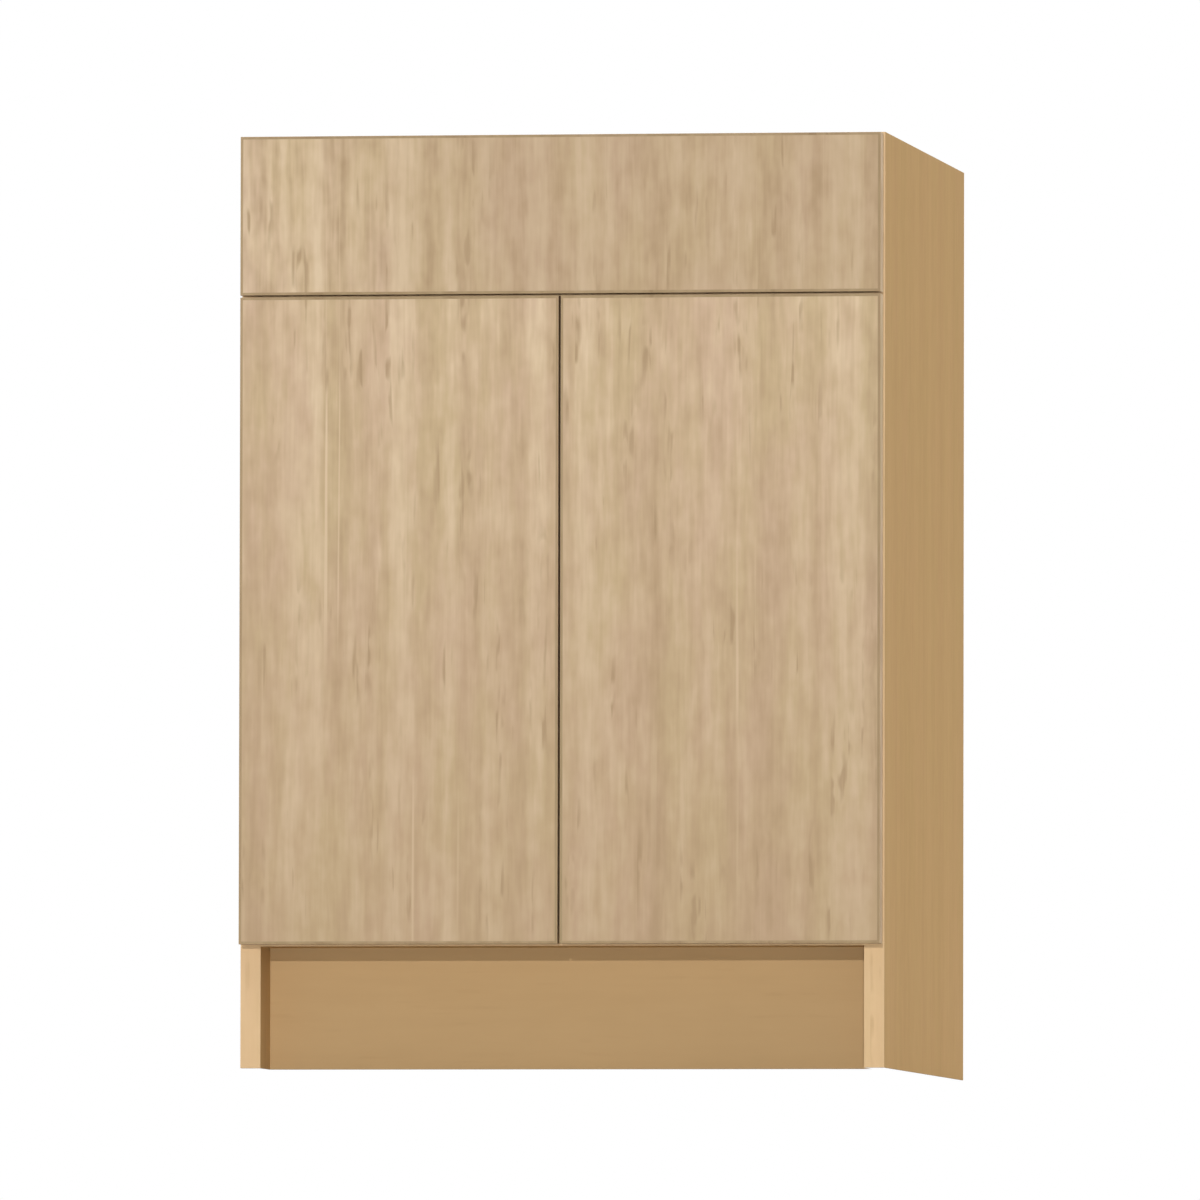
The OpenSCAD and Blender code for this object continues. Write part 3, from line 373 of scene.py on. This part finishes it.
def build_wood_grain():
    group, given, result = new_group(
        "Wood grain",
        [("Vector", "vector"), ("Pale", "colour"), ("Warm", "colour"), ("Cool", "colour"),
         ("Dark", "colour"), ("Streaks", "value", 1.0), ("Pores", "value", 1.0),
         ("Lines", "value", 1.0), ("Mottle", "value", 1.0)],
        [("Colour", "colour"), ("Height", "value")])
    wander = noise(group, given["Vector"], SWAY_SCALE, detail=1.0)
    sway = add_node(group, "CombineXYZ", {"X": product(group, wander, SWAY)})
    place = vectors(group, "ADD", given["Vector"], sway.outputs["Vector"]).outputs["Vector"]
    patches = overlap(group, place, PATCH_LAYERS, PATCH_ROUGHNESS)
    tone = build_tone(group, place, given["Mottle"])
    pores = product(group, overlap(group, place, PORE_LAYERS), given["Pores"])
    lines = product(group, overlap(group, place, LINE_LAYERS), given["Lines"])
    lift = product(group, given["Streaks"], spread(group, tone, *LIFT))
    shade = product(group, given["Streaks"], spread(group, tone, *SHADE))
    colour = mix_colours(group, patches, given["Warm"], given["Cool"])
    colour = mix_colours(group, lift, colour, given["Pale"])
    colour = mix_colours(group, shade, colour, given["Dark"])
    colour = mix_colours(group, lines, colour, given["Pale"])
    colour = mix_colours(group, product(group, pores, PORE_DARKNESS), colour, given["Dark"])
    plug(group, result["Colour"], colour)
    plug(group, result["Height"], maths(group, "SUBTRACT", tone, pores))
    return group


wood_grain = build_wood_grain()
print("made", wood_grain.name)

# %% [markdown]
# A board is faced on its two broad sides and raw where it was sawn. Which side a point
# is on follows from the direction that the surface faces. The group compares that with
# the direction of the broad faces and puts out a mask of the cut edges. The faces could
# be sorted into two material slots instead, but the mask leaves the mesh alone.

# %% Cut edge group
EDGE_LIMITS = (0.75, 0.65)


def build_cut_edges():
    group, given, result = new_group(
        "Cut edges", [("Normal", "vector"), ("Face", "vector")], [("Mask", "value")])
    facing = vectors(group, "DOT_PRODUCT", given["Normal"], given["Face"]).outputs["Value"]
    along = maths(group, "ABSOLUTE", facing)
    plug(group, result["Mask"], spread(group, along, *EDGE_LIMITS))
    return group


cut_edges = build_cut_edges()
print("made", cut_edges.name)

# %% [markdown]
# The core of the boards is chipboard, pressed from chips of many shades. Noise alone
# would give soft clouds. Voronoi cells have hard outlines and give each chip its own
# shade, and a second, finer layer of noise breaks them up.

# %% Chipboard group
CHIP_SIZE = 0.0022
DUST_SIZE = CHIP_SIZE / 3
CHIP_SHADES = (0.05, 0.5)


def build_chipboard():
    group, given, result = new_group(
        "Chipboard",
        [("Vector", "vector"), ("Light", "colour"), ("Dark", "colour")],
        [("Colour", "colour"), ("Height", "value")])
    chips = add_node(
        group, "TexVoronoi", {"Vector": given["Vector"], "Scale": 1 / CHIP_SIZE})
    shade = add_node(group, "SeparateColor", {"Color": chips.outputs["Color"]})
    dust = noise(group, given["Vector"], 1 / DUST_SIZE)
    share = product(group, shade.outputs["Red"], dust)
    plug(group, result["Colour"], mix_colours(
        group, spread(group, share, *CHIP_SHADES), given["Dark"], given["Light"]))
    plug(group, result["Height"], share)
    return group


chipboard = build_chipboard()
print("made", chipboard.name)

# %% [markdown]
# Plywood shows its layers at the edges, pale ones and dark ones in turn. The group is
# given how deep a point lies in the board, and paints a stripe for each layer, with some
# fibres over it. Layers as solids of their own would show nothing more.

# %% Plywood edge group
PLY_LAYER = 0.0012
PLY_STRIPE = (0.4, 0.6, 0.0, 0.7)
PLY_FIBRE_SCALE = 900.0
PLY_FIBRES = 0.3


def build_ply_edges():
    group, given, result = new_group(
        "Plywood edge",
        [("Depth", "value"), ("Layer", "value", PLY_LAYER), ("Vector", "vector"),
         ("Light", "colour"), ("Dark", "colour")],
        [("Colour", "colour")])
    turns = maths(group, "DIVIDE", given["Depth"], given["Layer"])
    stripe = spread(group, maths(group, "PINGPONG", turns, 1.0), *PLY_STRIPE)
    fibres = product(group, noise(group, given["Vector"], PLY_FIBRE_SCALE), PLY_FIBRES)
    share = maths(group, "ADD", stripe, fibres)
    plug(group, result["Colour"], mix_colours(group, share, given["Light"], given["Dark"]))
    return group


ply_edges = build_ply_edges()
print("made", ply_edges.name)

# %% [markdown]
# Plated steel is smooth but never even: rolling leaves fine lines, and handling leaves
# faint clouds. Painted into the colour they would look like dirt. What they change is
# how sharply the metal mirrors, so they go to the roughness.

# %% Plated metal group
LINE_SCALE = 2600.0
CLOUD_SCALE = 90.0
LINE_SHARE = 0.6
METAL_SPAN = (0.3, 0.7)


def build_plated_metal():
    group, given, result = new_group(
        "Plated metal",
        [("Vector", "vector"), ("Along", "vector", (1.0, 0.03, 1.0)), ("Smooth", "value", 0.25),
         ("Dull", "value", 0.42)],
        [("Roughness", "value"), ("Height", "value")])
    drawn = vectors(group, "MULTIPLY", given["Vector"], given["Along"]).outputs["Vector"]
    lines = noise(group, drawn, LINE_SCALE, detail=3.0, roughness=0.6)
    clouds = noise(group, given["Vector"], CLOUD_SCALE, detail=3.0)
    share = maths(
        group, "ADD", product(group, lines, LINE_SHARE), product(group, clouds, 1 - LINE_SHARE))
    plug(group, result["Roughness"], spread(
        group, share, *METAL_SPAN, given["Smooth"], given["Dull"]))
    plug(group, result["Height"], lines)
    return group


plated_metal = build_plated_metal()
print("made", plated_metal.name)

# %% [markdown]
# Every material starts the same way: an empty tree, a Principled shader and the
# coordinates of the object. A bump from the pattern's height gives the surface life.
# Displacement would move real faces, and a relief of a fraction of a millimetre isn't
# worth that. Here it is a depth in metres and a strength.

# %% Helpers for materials


def new_material(name):
    """A material, its node tree and its shader."""
    made = bpy.data.materials.new(name)
    made.use_nodes = True
    tree = made.node_tree
    tree.nodes.clear()
    shader = add_node(tree, "BsdfPrincipled")
    add_node(tree, "OutputMaterial", {"Surface": shader.outputs["BSDF"]})
    return made, tree, shader


def object_place(tree):
    return add_node(tree, "TexCoord").outputs["Object"]


def edge_mask(tree, face):
    """A mask of the sides that don't face along the direction given."""
    normal = add_node(tree, "TexCoord").outputs["Normal"]
    return use_group(tree, cut_edges, {"Normal": normal, "Face": face})["Mask"]


def add_bump(tree, shader, height, relief):
    depth, strength = relief
    bump = add_node(tree, "Bump", {
        "Height": height, "Distance": depth, "Strength": strength})
    tree.links.new(bump.outputs["Normal"], shader.inputs["Normal"])


print("materials can be made")

# %% [markdown]
# Grain can run along any axis of a board. Turning the board itself would move it, so
# its coordinates are turned before they reach the grain group. Dressing a node means
# emptying its material slots and giving it the new material. The names are kept, to see
# at the end whether a node was left out. Many nodes come as a left one and a right one.

# %% Helpers for boards and nodes
TURNS = {"x": (0, math.pi / 2, 0), "y": (math.pi / 2, 0, 0), "z": (0, 0, 0)}

dressed = set()


def grain_along(tree, place, axis, start=(0, 0, 0)):
    """Coordinates turned so that the grain runs along Z, and shifted to a start."""
    made = add_node(tree, "Mapping", {
        "Vector": place, "Rotation": TURNS[axis], "Location": start})
    return made.outputs["Vector"]


def both_sides(*names):
    return [side + name for name in names for side in ("left_", "right_")]


def dress(material, *names):
    """Gives CAD nodes their material."""
    for name in names:
        slots = nodes[name].data.materials
        slots.clear()
        slots.append(material)
    dressed.update(names)
    print(material.name, "on", ", ".join(names))


print("nodes can be dressed, such as", both_sides("door"))

# %% [markdown]
# The fronts are faced with a pale oak print, matt, with upright grain. Over the print a
# painted shade can darken it towards one side: it is given as an axis, where the
# darkening starts and ends, and how far it goes towards the dark colour.

# %% Printed laminate
MATT = 0.15
GRAIN_SPAN = (0.2, 0.8)
PRINT_ROUGHNESS = (0.5, 0.62)
PRINT_RELIEF = (0.00012, 0.5)


def finish_print(tree, shader, colour, height):
    """The matt surface of a print, over its colour and the height of its grain."""
    plug(tree, shader.inputs["Base Color"], colour)
    plug(tree, shader.inputs["Roughness"], spread(
        tree, height, *GRAIN_SPAN, *PRINT_ROUGHNESS))
    shader.inputs["Specular IOR Level"].default_value = MATT
    add_bump(tree, shader, height, PRINT_RELIEF)


def make_laminate(
        name, colours, axis="z", start=(0, 0, 0), streaks=1.0, lines=1.0, painted_shade=None):
    made, tree, shader = new_material(name)
    place = object_place(tree)
    grain = use_group(tree, wood_grain, {
        "Vector": grain_along(tree, place, axis, start), "Streaks": streaks,
        "Lines": lines, **colours})
    colour = grain["Colour"]
    # Painted shade: the print is mixed towards its dark colour along one axis.
    if painted_shade:
        shade_axis, shade_from, shade_to, shade_share = painted_shade
        split = add_node(tree, "SeparateXYZ", {"Vector": place})
        share = spread(tree, split.outputs[shade_axis], shade_from, shade_to, 0.0, shade_share)
        colour = mix_colours(tree, share, colour, colours["Dark"])
    finish_print(tree, shader, colour, grain["Height"])
    return made


print("laminate can be made")

# %% [markdown]
# One coordinate system runs over all three fronts, so the streaks carry on from the
# drawer front into the doors, as in the picture. With coordinates of its own each front
# would look like a board from another tree. The pattern has no end, and the start says
# which part of it these fronts were cut from. A painted shade darkens the print towards
# the foot of the doors, and on the drawer front from its left edge to the middle. As these
# painted shades differ, the doors and the drawer front were matched to the picture one
# after the other.

# %% Fronts
FRONT_COLOURS = wood_colours(
    (220, 197, 165), (200, 172, 143), (198, 174, 137), (165, 138, 104))
DRAWER_COLOURS = wood_colours(
    (220, 197, 165), (204, 177, 149), (203, 179, 143), (165, 138, 104))
PRINT_START = (0.83, 0.0, 1.3)
# How far the painted shade darkens the doors and the drawer front, and where it ends on the
# drawer.
DOOR_PAINTED_SHADE = 0.44
DRAWER_PAINTED_SHADE = 0.42
DRAWER_PAINTED_SHADE_END = -0.05

door_low, door_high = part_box("left_door")
dress(make_laminate(
    "door laminate", FRONT_COLOURS, start=PRINT_START,
    painted_shade=("Z", door_high.z, door_low.z, DOOR_PAINTED_SHADE)), *both_sides("door"))
front_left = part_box("drawer_front")[0].x
dress(make_laminate(
    "drawer front laminate", DRAWER_COLOURS, start=PRINT_START, streaks=1.35,
    painted_shade=("X", front_left, DRAWER_PAINTED_SHADE_END, DRAWER_PAINTED_SHADE)), "drawer_front")

# %% [markdown]
# A thick edge band frames each front. Its outer side carries the print of the fronts.
# From in front we see its thickness, coloured darker than the face as a painted shade
# along the rims of the fronts, and that dark outline is what makes the three fronts
# readable in the picture. The mask that finds a board's cut edges tells the two apart, so one
# material does both.

# %% Edge bands of the fronts
# The darker colours of the band's thickness, a painted shade along the rims.
BAND_SHADE_COLOURS = wood_colours(
    (176, 152, 118), (166, 141, 108), (163, 140, 105), (146, 121, 89))


def make_front_band(name, shaded_section, outside):
    """The first colours paint the band's thickness darker, as painted shade, and outside its
    printed outer side.
    """
    made, tree, shader = new_material(name)
    place = object_place(tree)
    # The band's thickness: its darker colours are painted shade along the rims.
    outline_shade = use_group(tree, wood_grain, {"Vector": place, "Lines": 0.0, **shaded_section})
    printed = use_group(tree, wood_grain, {
        "Vector": grain_along(tree, place, "z", PRINT_START), **outside})
    colour = mix_colours(
        tree, edge_mask(tree, (0, 1, 0)), outline_shade["Colour"], printed["Colour"])
    finish_print(tree, shader, colour, printed["Height"])
    return made


front_band = make_front_band("front edge band", BAND_SHADE_COLOURS, FRONT_COLOURS)
dress(front_band, *both_sides("door_edge_bands"), "drawer_front_edge_bands")

# %% [markdown]
# The carcass has a thin band on its front edges only, a little paler than its boards.
# It needs no recipe of its own: the laminate does, in other colours and without lines.

# %% Edge band of the carcass
CARCASS_BAND_COLOURS = wood_colours(
    (226, 194, 151), (218, 184, 142), (216, 184, 139), (200, 166, 122))

carcass_band = make_laminate("carcass edge band", CARCASS_BAND_COLOURS, streaks=0.6, lines=0.0)
dress(carcass_band, "carcass_edge_bands")

# %% [markdown]
# The carcass boards are chipboard with a plain tan facing, which has only a faint
# grain. Where a board was sawn, at the top, the back and the foot, the chips show.

# %% Faced chipboard
CHIP_LIGHT = picture_colour(204, 175, 132)
CHIP_DARK = picture_colour(148, 116, 78)
BOARD_MATT = 0.05
BOARD_ROUGHNESS = (0.72, 0.9)
BOARD_RELIEF = (0.0002, 0.4)
BOARD_PORES = 0.25


def make_board(name, colours, axis, face, streaks=0.5):
    """axis is the way of the grain and face the direction of the broad sides."""
    made, tree, shader = new_material(name)
    place = object_place(tree)
    grain = use_group(tree, wood_grain, {
        "Vector": grain_along(tree, place, axis), "Streaks": streaks,
        "Pores": BOARD_PORES, "Lines": 0.0, **colours})
    chips = use_group(tree, chipboard, {
        "Vector": place, "Light": CHIP_LIGHT, "Dark": CHIP_DARK})
    mask = edge_mask(tree, face)
    plug(tree, shader.inputs["Base Color"], mix_colours(
        tree, mask, grain["Colour"], chips["Colour"]))
    plug(tree, shader.inputs["Roughness"], spread(tree, mask, 0.0, 1.0, *BOARD_ROUGHNESS))
    shader.inputs["Specular IOR Level"].default_value = BOARD_MATT
    height = add_node(tree, "Mix", {0: mask, 2: grain["Height"], 3: chips["Height"]})
    add_bump(tree, shader, height.outputs[0], BOARD_RELIEF)
    return made


print("boards can be made")

# %% [markdown]
# A board's grain runs along its length, and its broad sides face one way. So there is
# a material for the upright sides, one for what lies flat, and one for what stands
# across the cabinet. The toe board stands in view, and its own has the calmest grain.

# %% Carcass boards
TAN_COLOURS = wood_colours(
    (197, 161, 112), (190, 154, 106), (188, 154, 104), (174, 139, 92))
TOE_COLOURS = wood_colours(
    (197, 165, 121), (191, 159, 115), (190, 158, 114), (176, 144, 101))

dress(
    make_board("side board", TAN_COLOURS, "z", (1, 0, 0)), *both_sides("side_panel"))
dress(
    make_board("flat board", TAN_COLOURS, "x", (0, 0, 1)),
    "bottom_panel", "top_front_rail", "top_back_rail", "middle_rail", "shelf")
dress(
    make_board("upright board", TAN_COLOURS, "x", (0, 1, 0)), "top_nailer", "bottom_nailer")
dress(
    make_board("toe board", TOE_COLOURS, "x", (0, 1, 0), streaks=0.2), "toe_kick_board")

# %% [markdown]
# The back panel and the drawer bottom are thin plywood. Their faces have a quiet grain,
# and their edges show five layers. The depth of a point is counted from the front of the
# back panel, and from the underside of the drawer bottom.

# %% Thin plywood
PLY_COLOURS = wood_colours(
    (226, 203, 166), (214, 187, 146), (212, 188, 145), (184, 152, 110))
PLY_LIGHT = picture_colour(214, 186, 142)
PLY_DARK = picture_colour(150, 116, 76)
PLY_GRAIN = {"Streaks": 0.7, "Pores": 0.4, "Lines": 0.3, "Mottle": 0.2}
PLY_ROUGHNESS = (0.5, 0.8)
PLY_RELIEF = (0.00015, 0.5)


def make_plywood(name, axis, face, depth_axis, near_face):
    """depth_axis runs through the thickness, and near_face is where it starts."""
    made, tree, shader = new_material(name)
    place = object_place(tree)
    grain = use_group(tree, wood_grain, {
        "Vector": grain_along(tree, place, axis), **PLY_GRAIN, **PLY_COLOURS})
    split = add_node(tree, "SeparateXYZ", {"Vector": place})
    depth = maths(tree, "SUBTRACT", split.outputs[depth_axis], near_face)
    edge = use_group(tree, ply_edges, {
        "Depth": depth, "Layer": PLY_LAYER, "Vector": place,
        "Light": PLY_LIGHT, "Dark": PLY_DARK})
    mask = edge_mask(tree, face)
    plug(tree, shader.inputs["Base Color"], mix_colours(
        tree, mask, grain["Colour"], edge["Colour"]))
    plug(tree, shader.inputs["Roughness"], spread(tree, mask, 0.0, 1.0, *PLY_ROUGHNESS))
    shader.inputs["Specular IOR Level"].default_value = MATT
    add_bump(tree, shader, grain["Height"], PLY_RELIEF)
    return made


back_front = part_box("back_panel")[0].y
dress(make_plywood("back plywood", "z", (0, 1, 0), "Y", back_front), "back_panel")
bottom_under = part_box("drawer_bottom")[0].z
dress(
    make_plywood("drawer bottom plywood", "x", (0, 0, 1), "Z", bottom_under),
    "drawer_bottom")

# %% [markdown]
# The drawer box is solid maple under clear lacquer. At the dovetails we look at the
# ends of the fibres, which drink more lacquer and turn darker, so the joints stand out.
# The ends are the sides that face along the grain, so their mask is the edge mask
# turned round.

# %% Solid wood of the drawer box
MAPLE_COLOURS = wood_colours(
    (240, 218, 182), (228, 200, 158), (226, 202, 158), (198, 164, 118))
END_LIGHT = picture_colour(204, 170, 124)
END_DARK = picture_colour(158, 122, 80)
MAPLE_GRAIN = {"Streaks": 0.8, "Pores": 0.5, "Lines": 0.4, "Mottle": 0.2}
MAPLE_ROUGHNESS = (0.36, 0.6)
MAPLE_RELIEF = (0.00015, 0.4)
RING_SCALE = 260.0
RING_SPAN = (0.35, 0.65)
LACQUER = 0.15
LACQUER_ROUGHNESS = 0.3


def make_solid_wood(name, axis, along):
    """along is the way of the grain, as a vector."""
    made, tree, shader = new_material(name)
    place = object_place(tree)
    grain = use_group(tree, wood_grain, {
        "Vector": grain_along(tree, place, axis), **MAPLE_GRAIN, **MAPLE_COLOURS})
    ends = maths(tree, "SUBTRACT", 1.0, edge_mask(tree, along))
    rings = noise(tree, place, RING_SCALE, detail=3.0, roughness=0.6)
    end_colour = mix_colours(
        tree, spread(tree, rings, *RING_SPAN), END_DARK, END_LIGHT)
    plug(tree, shader.inputs["Base Color"], mix_colours(
        tree, ends, grain["Colour"], end_colour))
    plug(tree, shader.inputs["Roughness"], spread(tree, ends, 0.0, 1.0, *MAPLE_ROUGHNESS))
    shader.inputs["Coat Weight"].default_value = LACQUER
    shader.inputs["Coat Roughness"].default_value = LACQUER_ROUGHNESS
    add_bump(tree, shader, grain["Height"], MAPLE_RELIEF)
    return made


dress(
    make_solid_wood("maple of the drawer sides", "y", (0, 1, 0)),
    "drawer_left_side", "drawer_right_side")
dress(
    make_solid_wood("maple of the box front and back", "x", (1, 0, 0)),
    "drawer_box_front", "drawer_box_back")
dress(make_laminate("beech dowels", MAPLE_COLOURS, axis="x", lines=0.0), "dowels")

# %% [markdown]
# Slides, hinges and screws are steel with different platings. Zinc is bluish, nickel is
# warmer, paler and softer in its shine, and cast zinc is matt. The last vector says how
# the lines of the rolling are drawn out: a small number draws them along its axis.

# %% Metals
METAL_RELIEF = (0.00002, 0.3)


def make_metal(name, colour, smooth, dull, along):
    made, tree, shader = new_material(name)
    plating = use_group(tree, plated_metal, {
        "Vector": object_place(tree), "Along": along, "Smooth": smooth, "Dull": dull})
    shader.inputs["Base Color"].default_value = picture_colour(*colour)
    shader.inputs["Metallic"].default_value = 1.0
    plug(tree, shader.inputs["Roughness"], plating["Roughness"])
    add_bump(tree, shader, plating["Height"], METAL_RELIEF)
    return made


dress(
    make_metal(
        "zinc plated steel", (196, 200, 205), smooth=0.24, dull=0.42,
        along=(1, 0.03, 1)),
    *both_sides("slide_cabinet_member", "slide_drawer_member", "slide_middle_member"))
dress(
    make_metal(
        "nickel plated steel", (214, 210, 203), smooth=0.34, dull=0.52,
        along=(1, 0.1, 1)),
    *both_sides("hinge_arms", "hinge_cups", "outer_links", "inner_links", "hinge_plates"),
    "shelf_pins")
dress(
    make_metal("bright steel", (218, 218, 218), smooth=0.24, dull=0.4, along=(1, 1, 1)),
    *both_sides("cup_screws", "cup_pins", "strike_plate"), "carcass_screws",
    "drawer_front_screws", "drawer_slide_screws", "cam_bolts", "hinge_arm_pins",
    "slide_outer_ball_cages", "slide_inner_ball_cages")
dress(
    make_metal("cast zinc", (170, 172, 176), smooth=0.42, dull=0.6, along=(1, 1, 1)),
    "cam_fittings")

# %% [markdown]
# The push latches are moulded plastic, grey for the housings and white for the
# plungers, with the fine texture that spark erosion leaves in a mould. It is far too
# fine to model, so it goes to the roughness and to a bump.

# %% Plastics
MOULD_SCALE = 2200.0
MOULD_SPAN = (0.3, 0.7)
MOULD_RELIEF = (0.00004, 0.5)


def make_plastic(name, colour, roughness):
    made, tree, shader = new_material(name)
    texture = noise(tree, object_place(tree), MOULD_SCALE)
    shader.inputs["Base Color"].default_value = picture_colour(*colour)
    plug(tree, shader.inputs["Roughness"], spread(tree, texture, *MOULD_SPAN, *roughness))
    add_bump(tree, shader, texture, MOULD_RELIEF)
    return made


dress(make_plastic("grey plastic", (150, 152, 155), (0.45, 0.6)), "latch_housings")
dress(
    make_plastic("white plastic", (236, 236, 232), (0.35, 0.5)),
    *both_sides("latch_plunger"), "drawer_latch_plunger")

# %% [markdown]
# The floor is a plain pale sheet, just under the feet of the cabinet. The camera of the
# picture stands below it, so the floor is clear from below and solid from above, and it
# casts no shadow, which would block the fill.

# %% Floor sheet
FLOOR_HALF = 15.0
FLOOR_DROP = 0.0002

floor_mesh = bpy.data.meshes.new("floor")
sheet = bmesh.new()
bmesh.ops.create_grid(sheet, x_segments=1, y_segments=1, size=FLOOR_HALF)
bmesh.ops.translate(sheet, verts=sheet.verts, vec=(0, 0, -FLOOR_DROP))
sheet.to_mesh(floor_mesh)
sheet.free()
floor = bpy.data.objects.new("floor", floor_mesh)
floor.visible_shadow = False
bpy.context.scene.collection.objects.link(floor)
print("floor", 2 * FLOOR_HALF, "m square")

# %% [markdown]
# What stands on a floor hides its own underside. So from below the sheet is white over
# the cabinet's footprint, as the background is. A second sheet could have that shape,
# but a mask from the coordinates needs no more faces: it holds everything between the
# outer faces of the side panels and behind the front of the toe board, and the feet of
# the two panels in front of that.

# %% Footprint mask


def footprint(tree, place):
    """One where the cabinet stands and nought elsewhere."""
    panel_low, panel_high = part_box("right_side_panel")
    toe_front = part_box("toe_kick_board")[0].y
    band_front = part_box("carcass_edge_bands")[0].y
    split = add_node(tree, "SeparateXYZ", {"Vector": place})
    across = maths(tree, "ABSOLUTE", split.outputs["X"])
    deep = split.outputs["Y"]
    between = maths(tree, "LESS_THAN", across, panel_high.x)
    before_wall = maths(tree, "LESS_THAN", deep, panel_high.y)
    in_panel = maths(tree, "GREATER_THAN", across, panel_low.x)
    foot = product(tree, maths(tree, "GREATER_THAN", deep, band_front), in_panel)
    behind_toe = maths(tree, "GREATER_THAN", deep, toe_front)
    return product(tree, between, before_wall, maths(tree, "MAXIMUM", behind_toe, foot))


print("footprint mask ready")

# %% [markdown]
# A white floor throws so much light up that the soft shadows vanish. A grey floor would
# look dull. So the floor is pale where the camera looks at it and darker in what it
# sends back to the object, which the Light Path node tells apart.

# %% Floor finish
FLOOR_LIGHT = picture_colour(238, 238, 236)
FLOOR_DARK = picture_colour(234, 234, 232)
FLOOR_RETURN = picture_colour(188, 188, 186)
FLOOR_ROUGHNESS = 0.7
SPECKLE_SCALE = 60.0

floor_finish, tree, shader = new_material("floor")
place = object_place(tree)
plug(tree, shader.inputs["Base Color"], mix_colours(
    tree, noise(tree, place, SPECKLE_SCALE), FLOOR_LIGHT, FLOOR_DARK))
shader.inputs["Roughness"].default_value = FLOOR_ROUGHNESS
returned = add_node(tree, "BsdfDiffuse", {"Color": FLOOR_RETURN})
floor_ray = add_node(tree, "LightPath")
above = add_node(tree, "MixShader", {
    "Fac": floor_ray.outputs["Is Camera Ray"], 1: returned.outputs["BSDF"],
    2: shader.outputs["BSDF"]})
print("the floor's upper side is ready")

# %% [markdown]
# The Backfacing output of the Geometry node tells which side of the sheet a ray meets.
# From above it meets the pale finish, and from below the clear sheet with the white
# footprint.

# %% Floor from below
clear = add_node(tree, "BsdfTransparent")
white = add_node(tree, "Emission", {"Color": WHITE})
below = add_node(tree, "MixShader", {
    "Fac": footprint(tree, place), 1: clear.outputs["BSDF"], 2: white.outputs["Emission"]})
side = add_node(tree, "NewGeometry")
either = add_node(tree, "MixShader", {
    "Fac": side.outputs["Backfacing"], 1: above.outputs["Shader"],
    2: below.outputs["Shader"]})
tree.links.new(either.outputs["Shader"], tree.get_output_node("ALL").inputs["Surface"])
floor_mesh.materials.append(floor_finish)
print(floor_finish.name, "on the floor")

# %% [markdown]
# Every node should have been dressed, so the list of those left out should be empty.

# %% Finish
print("nodes left out:", sorted(set(nodes) - dressed))
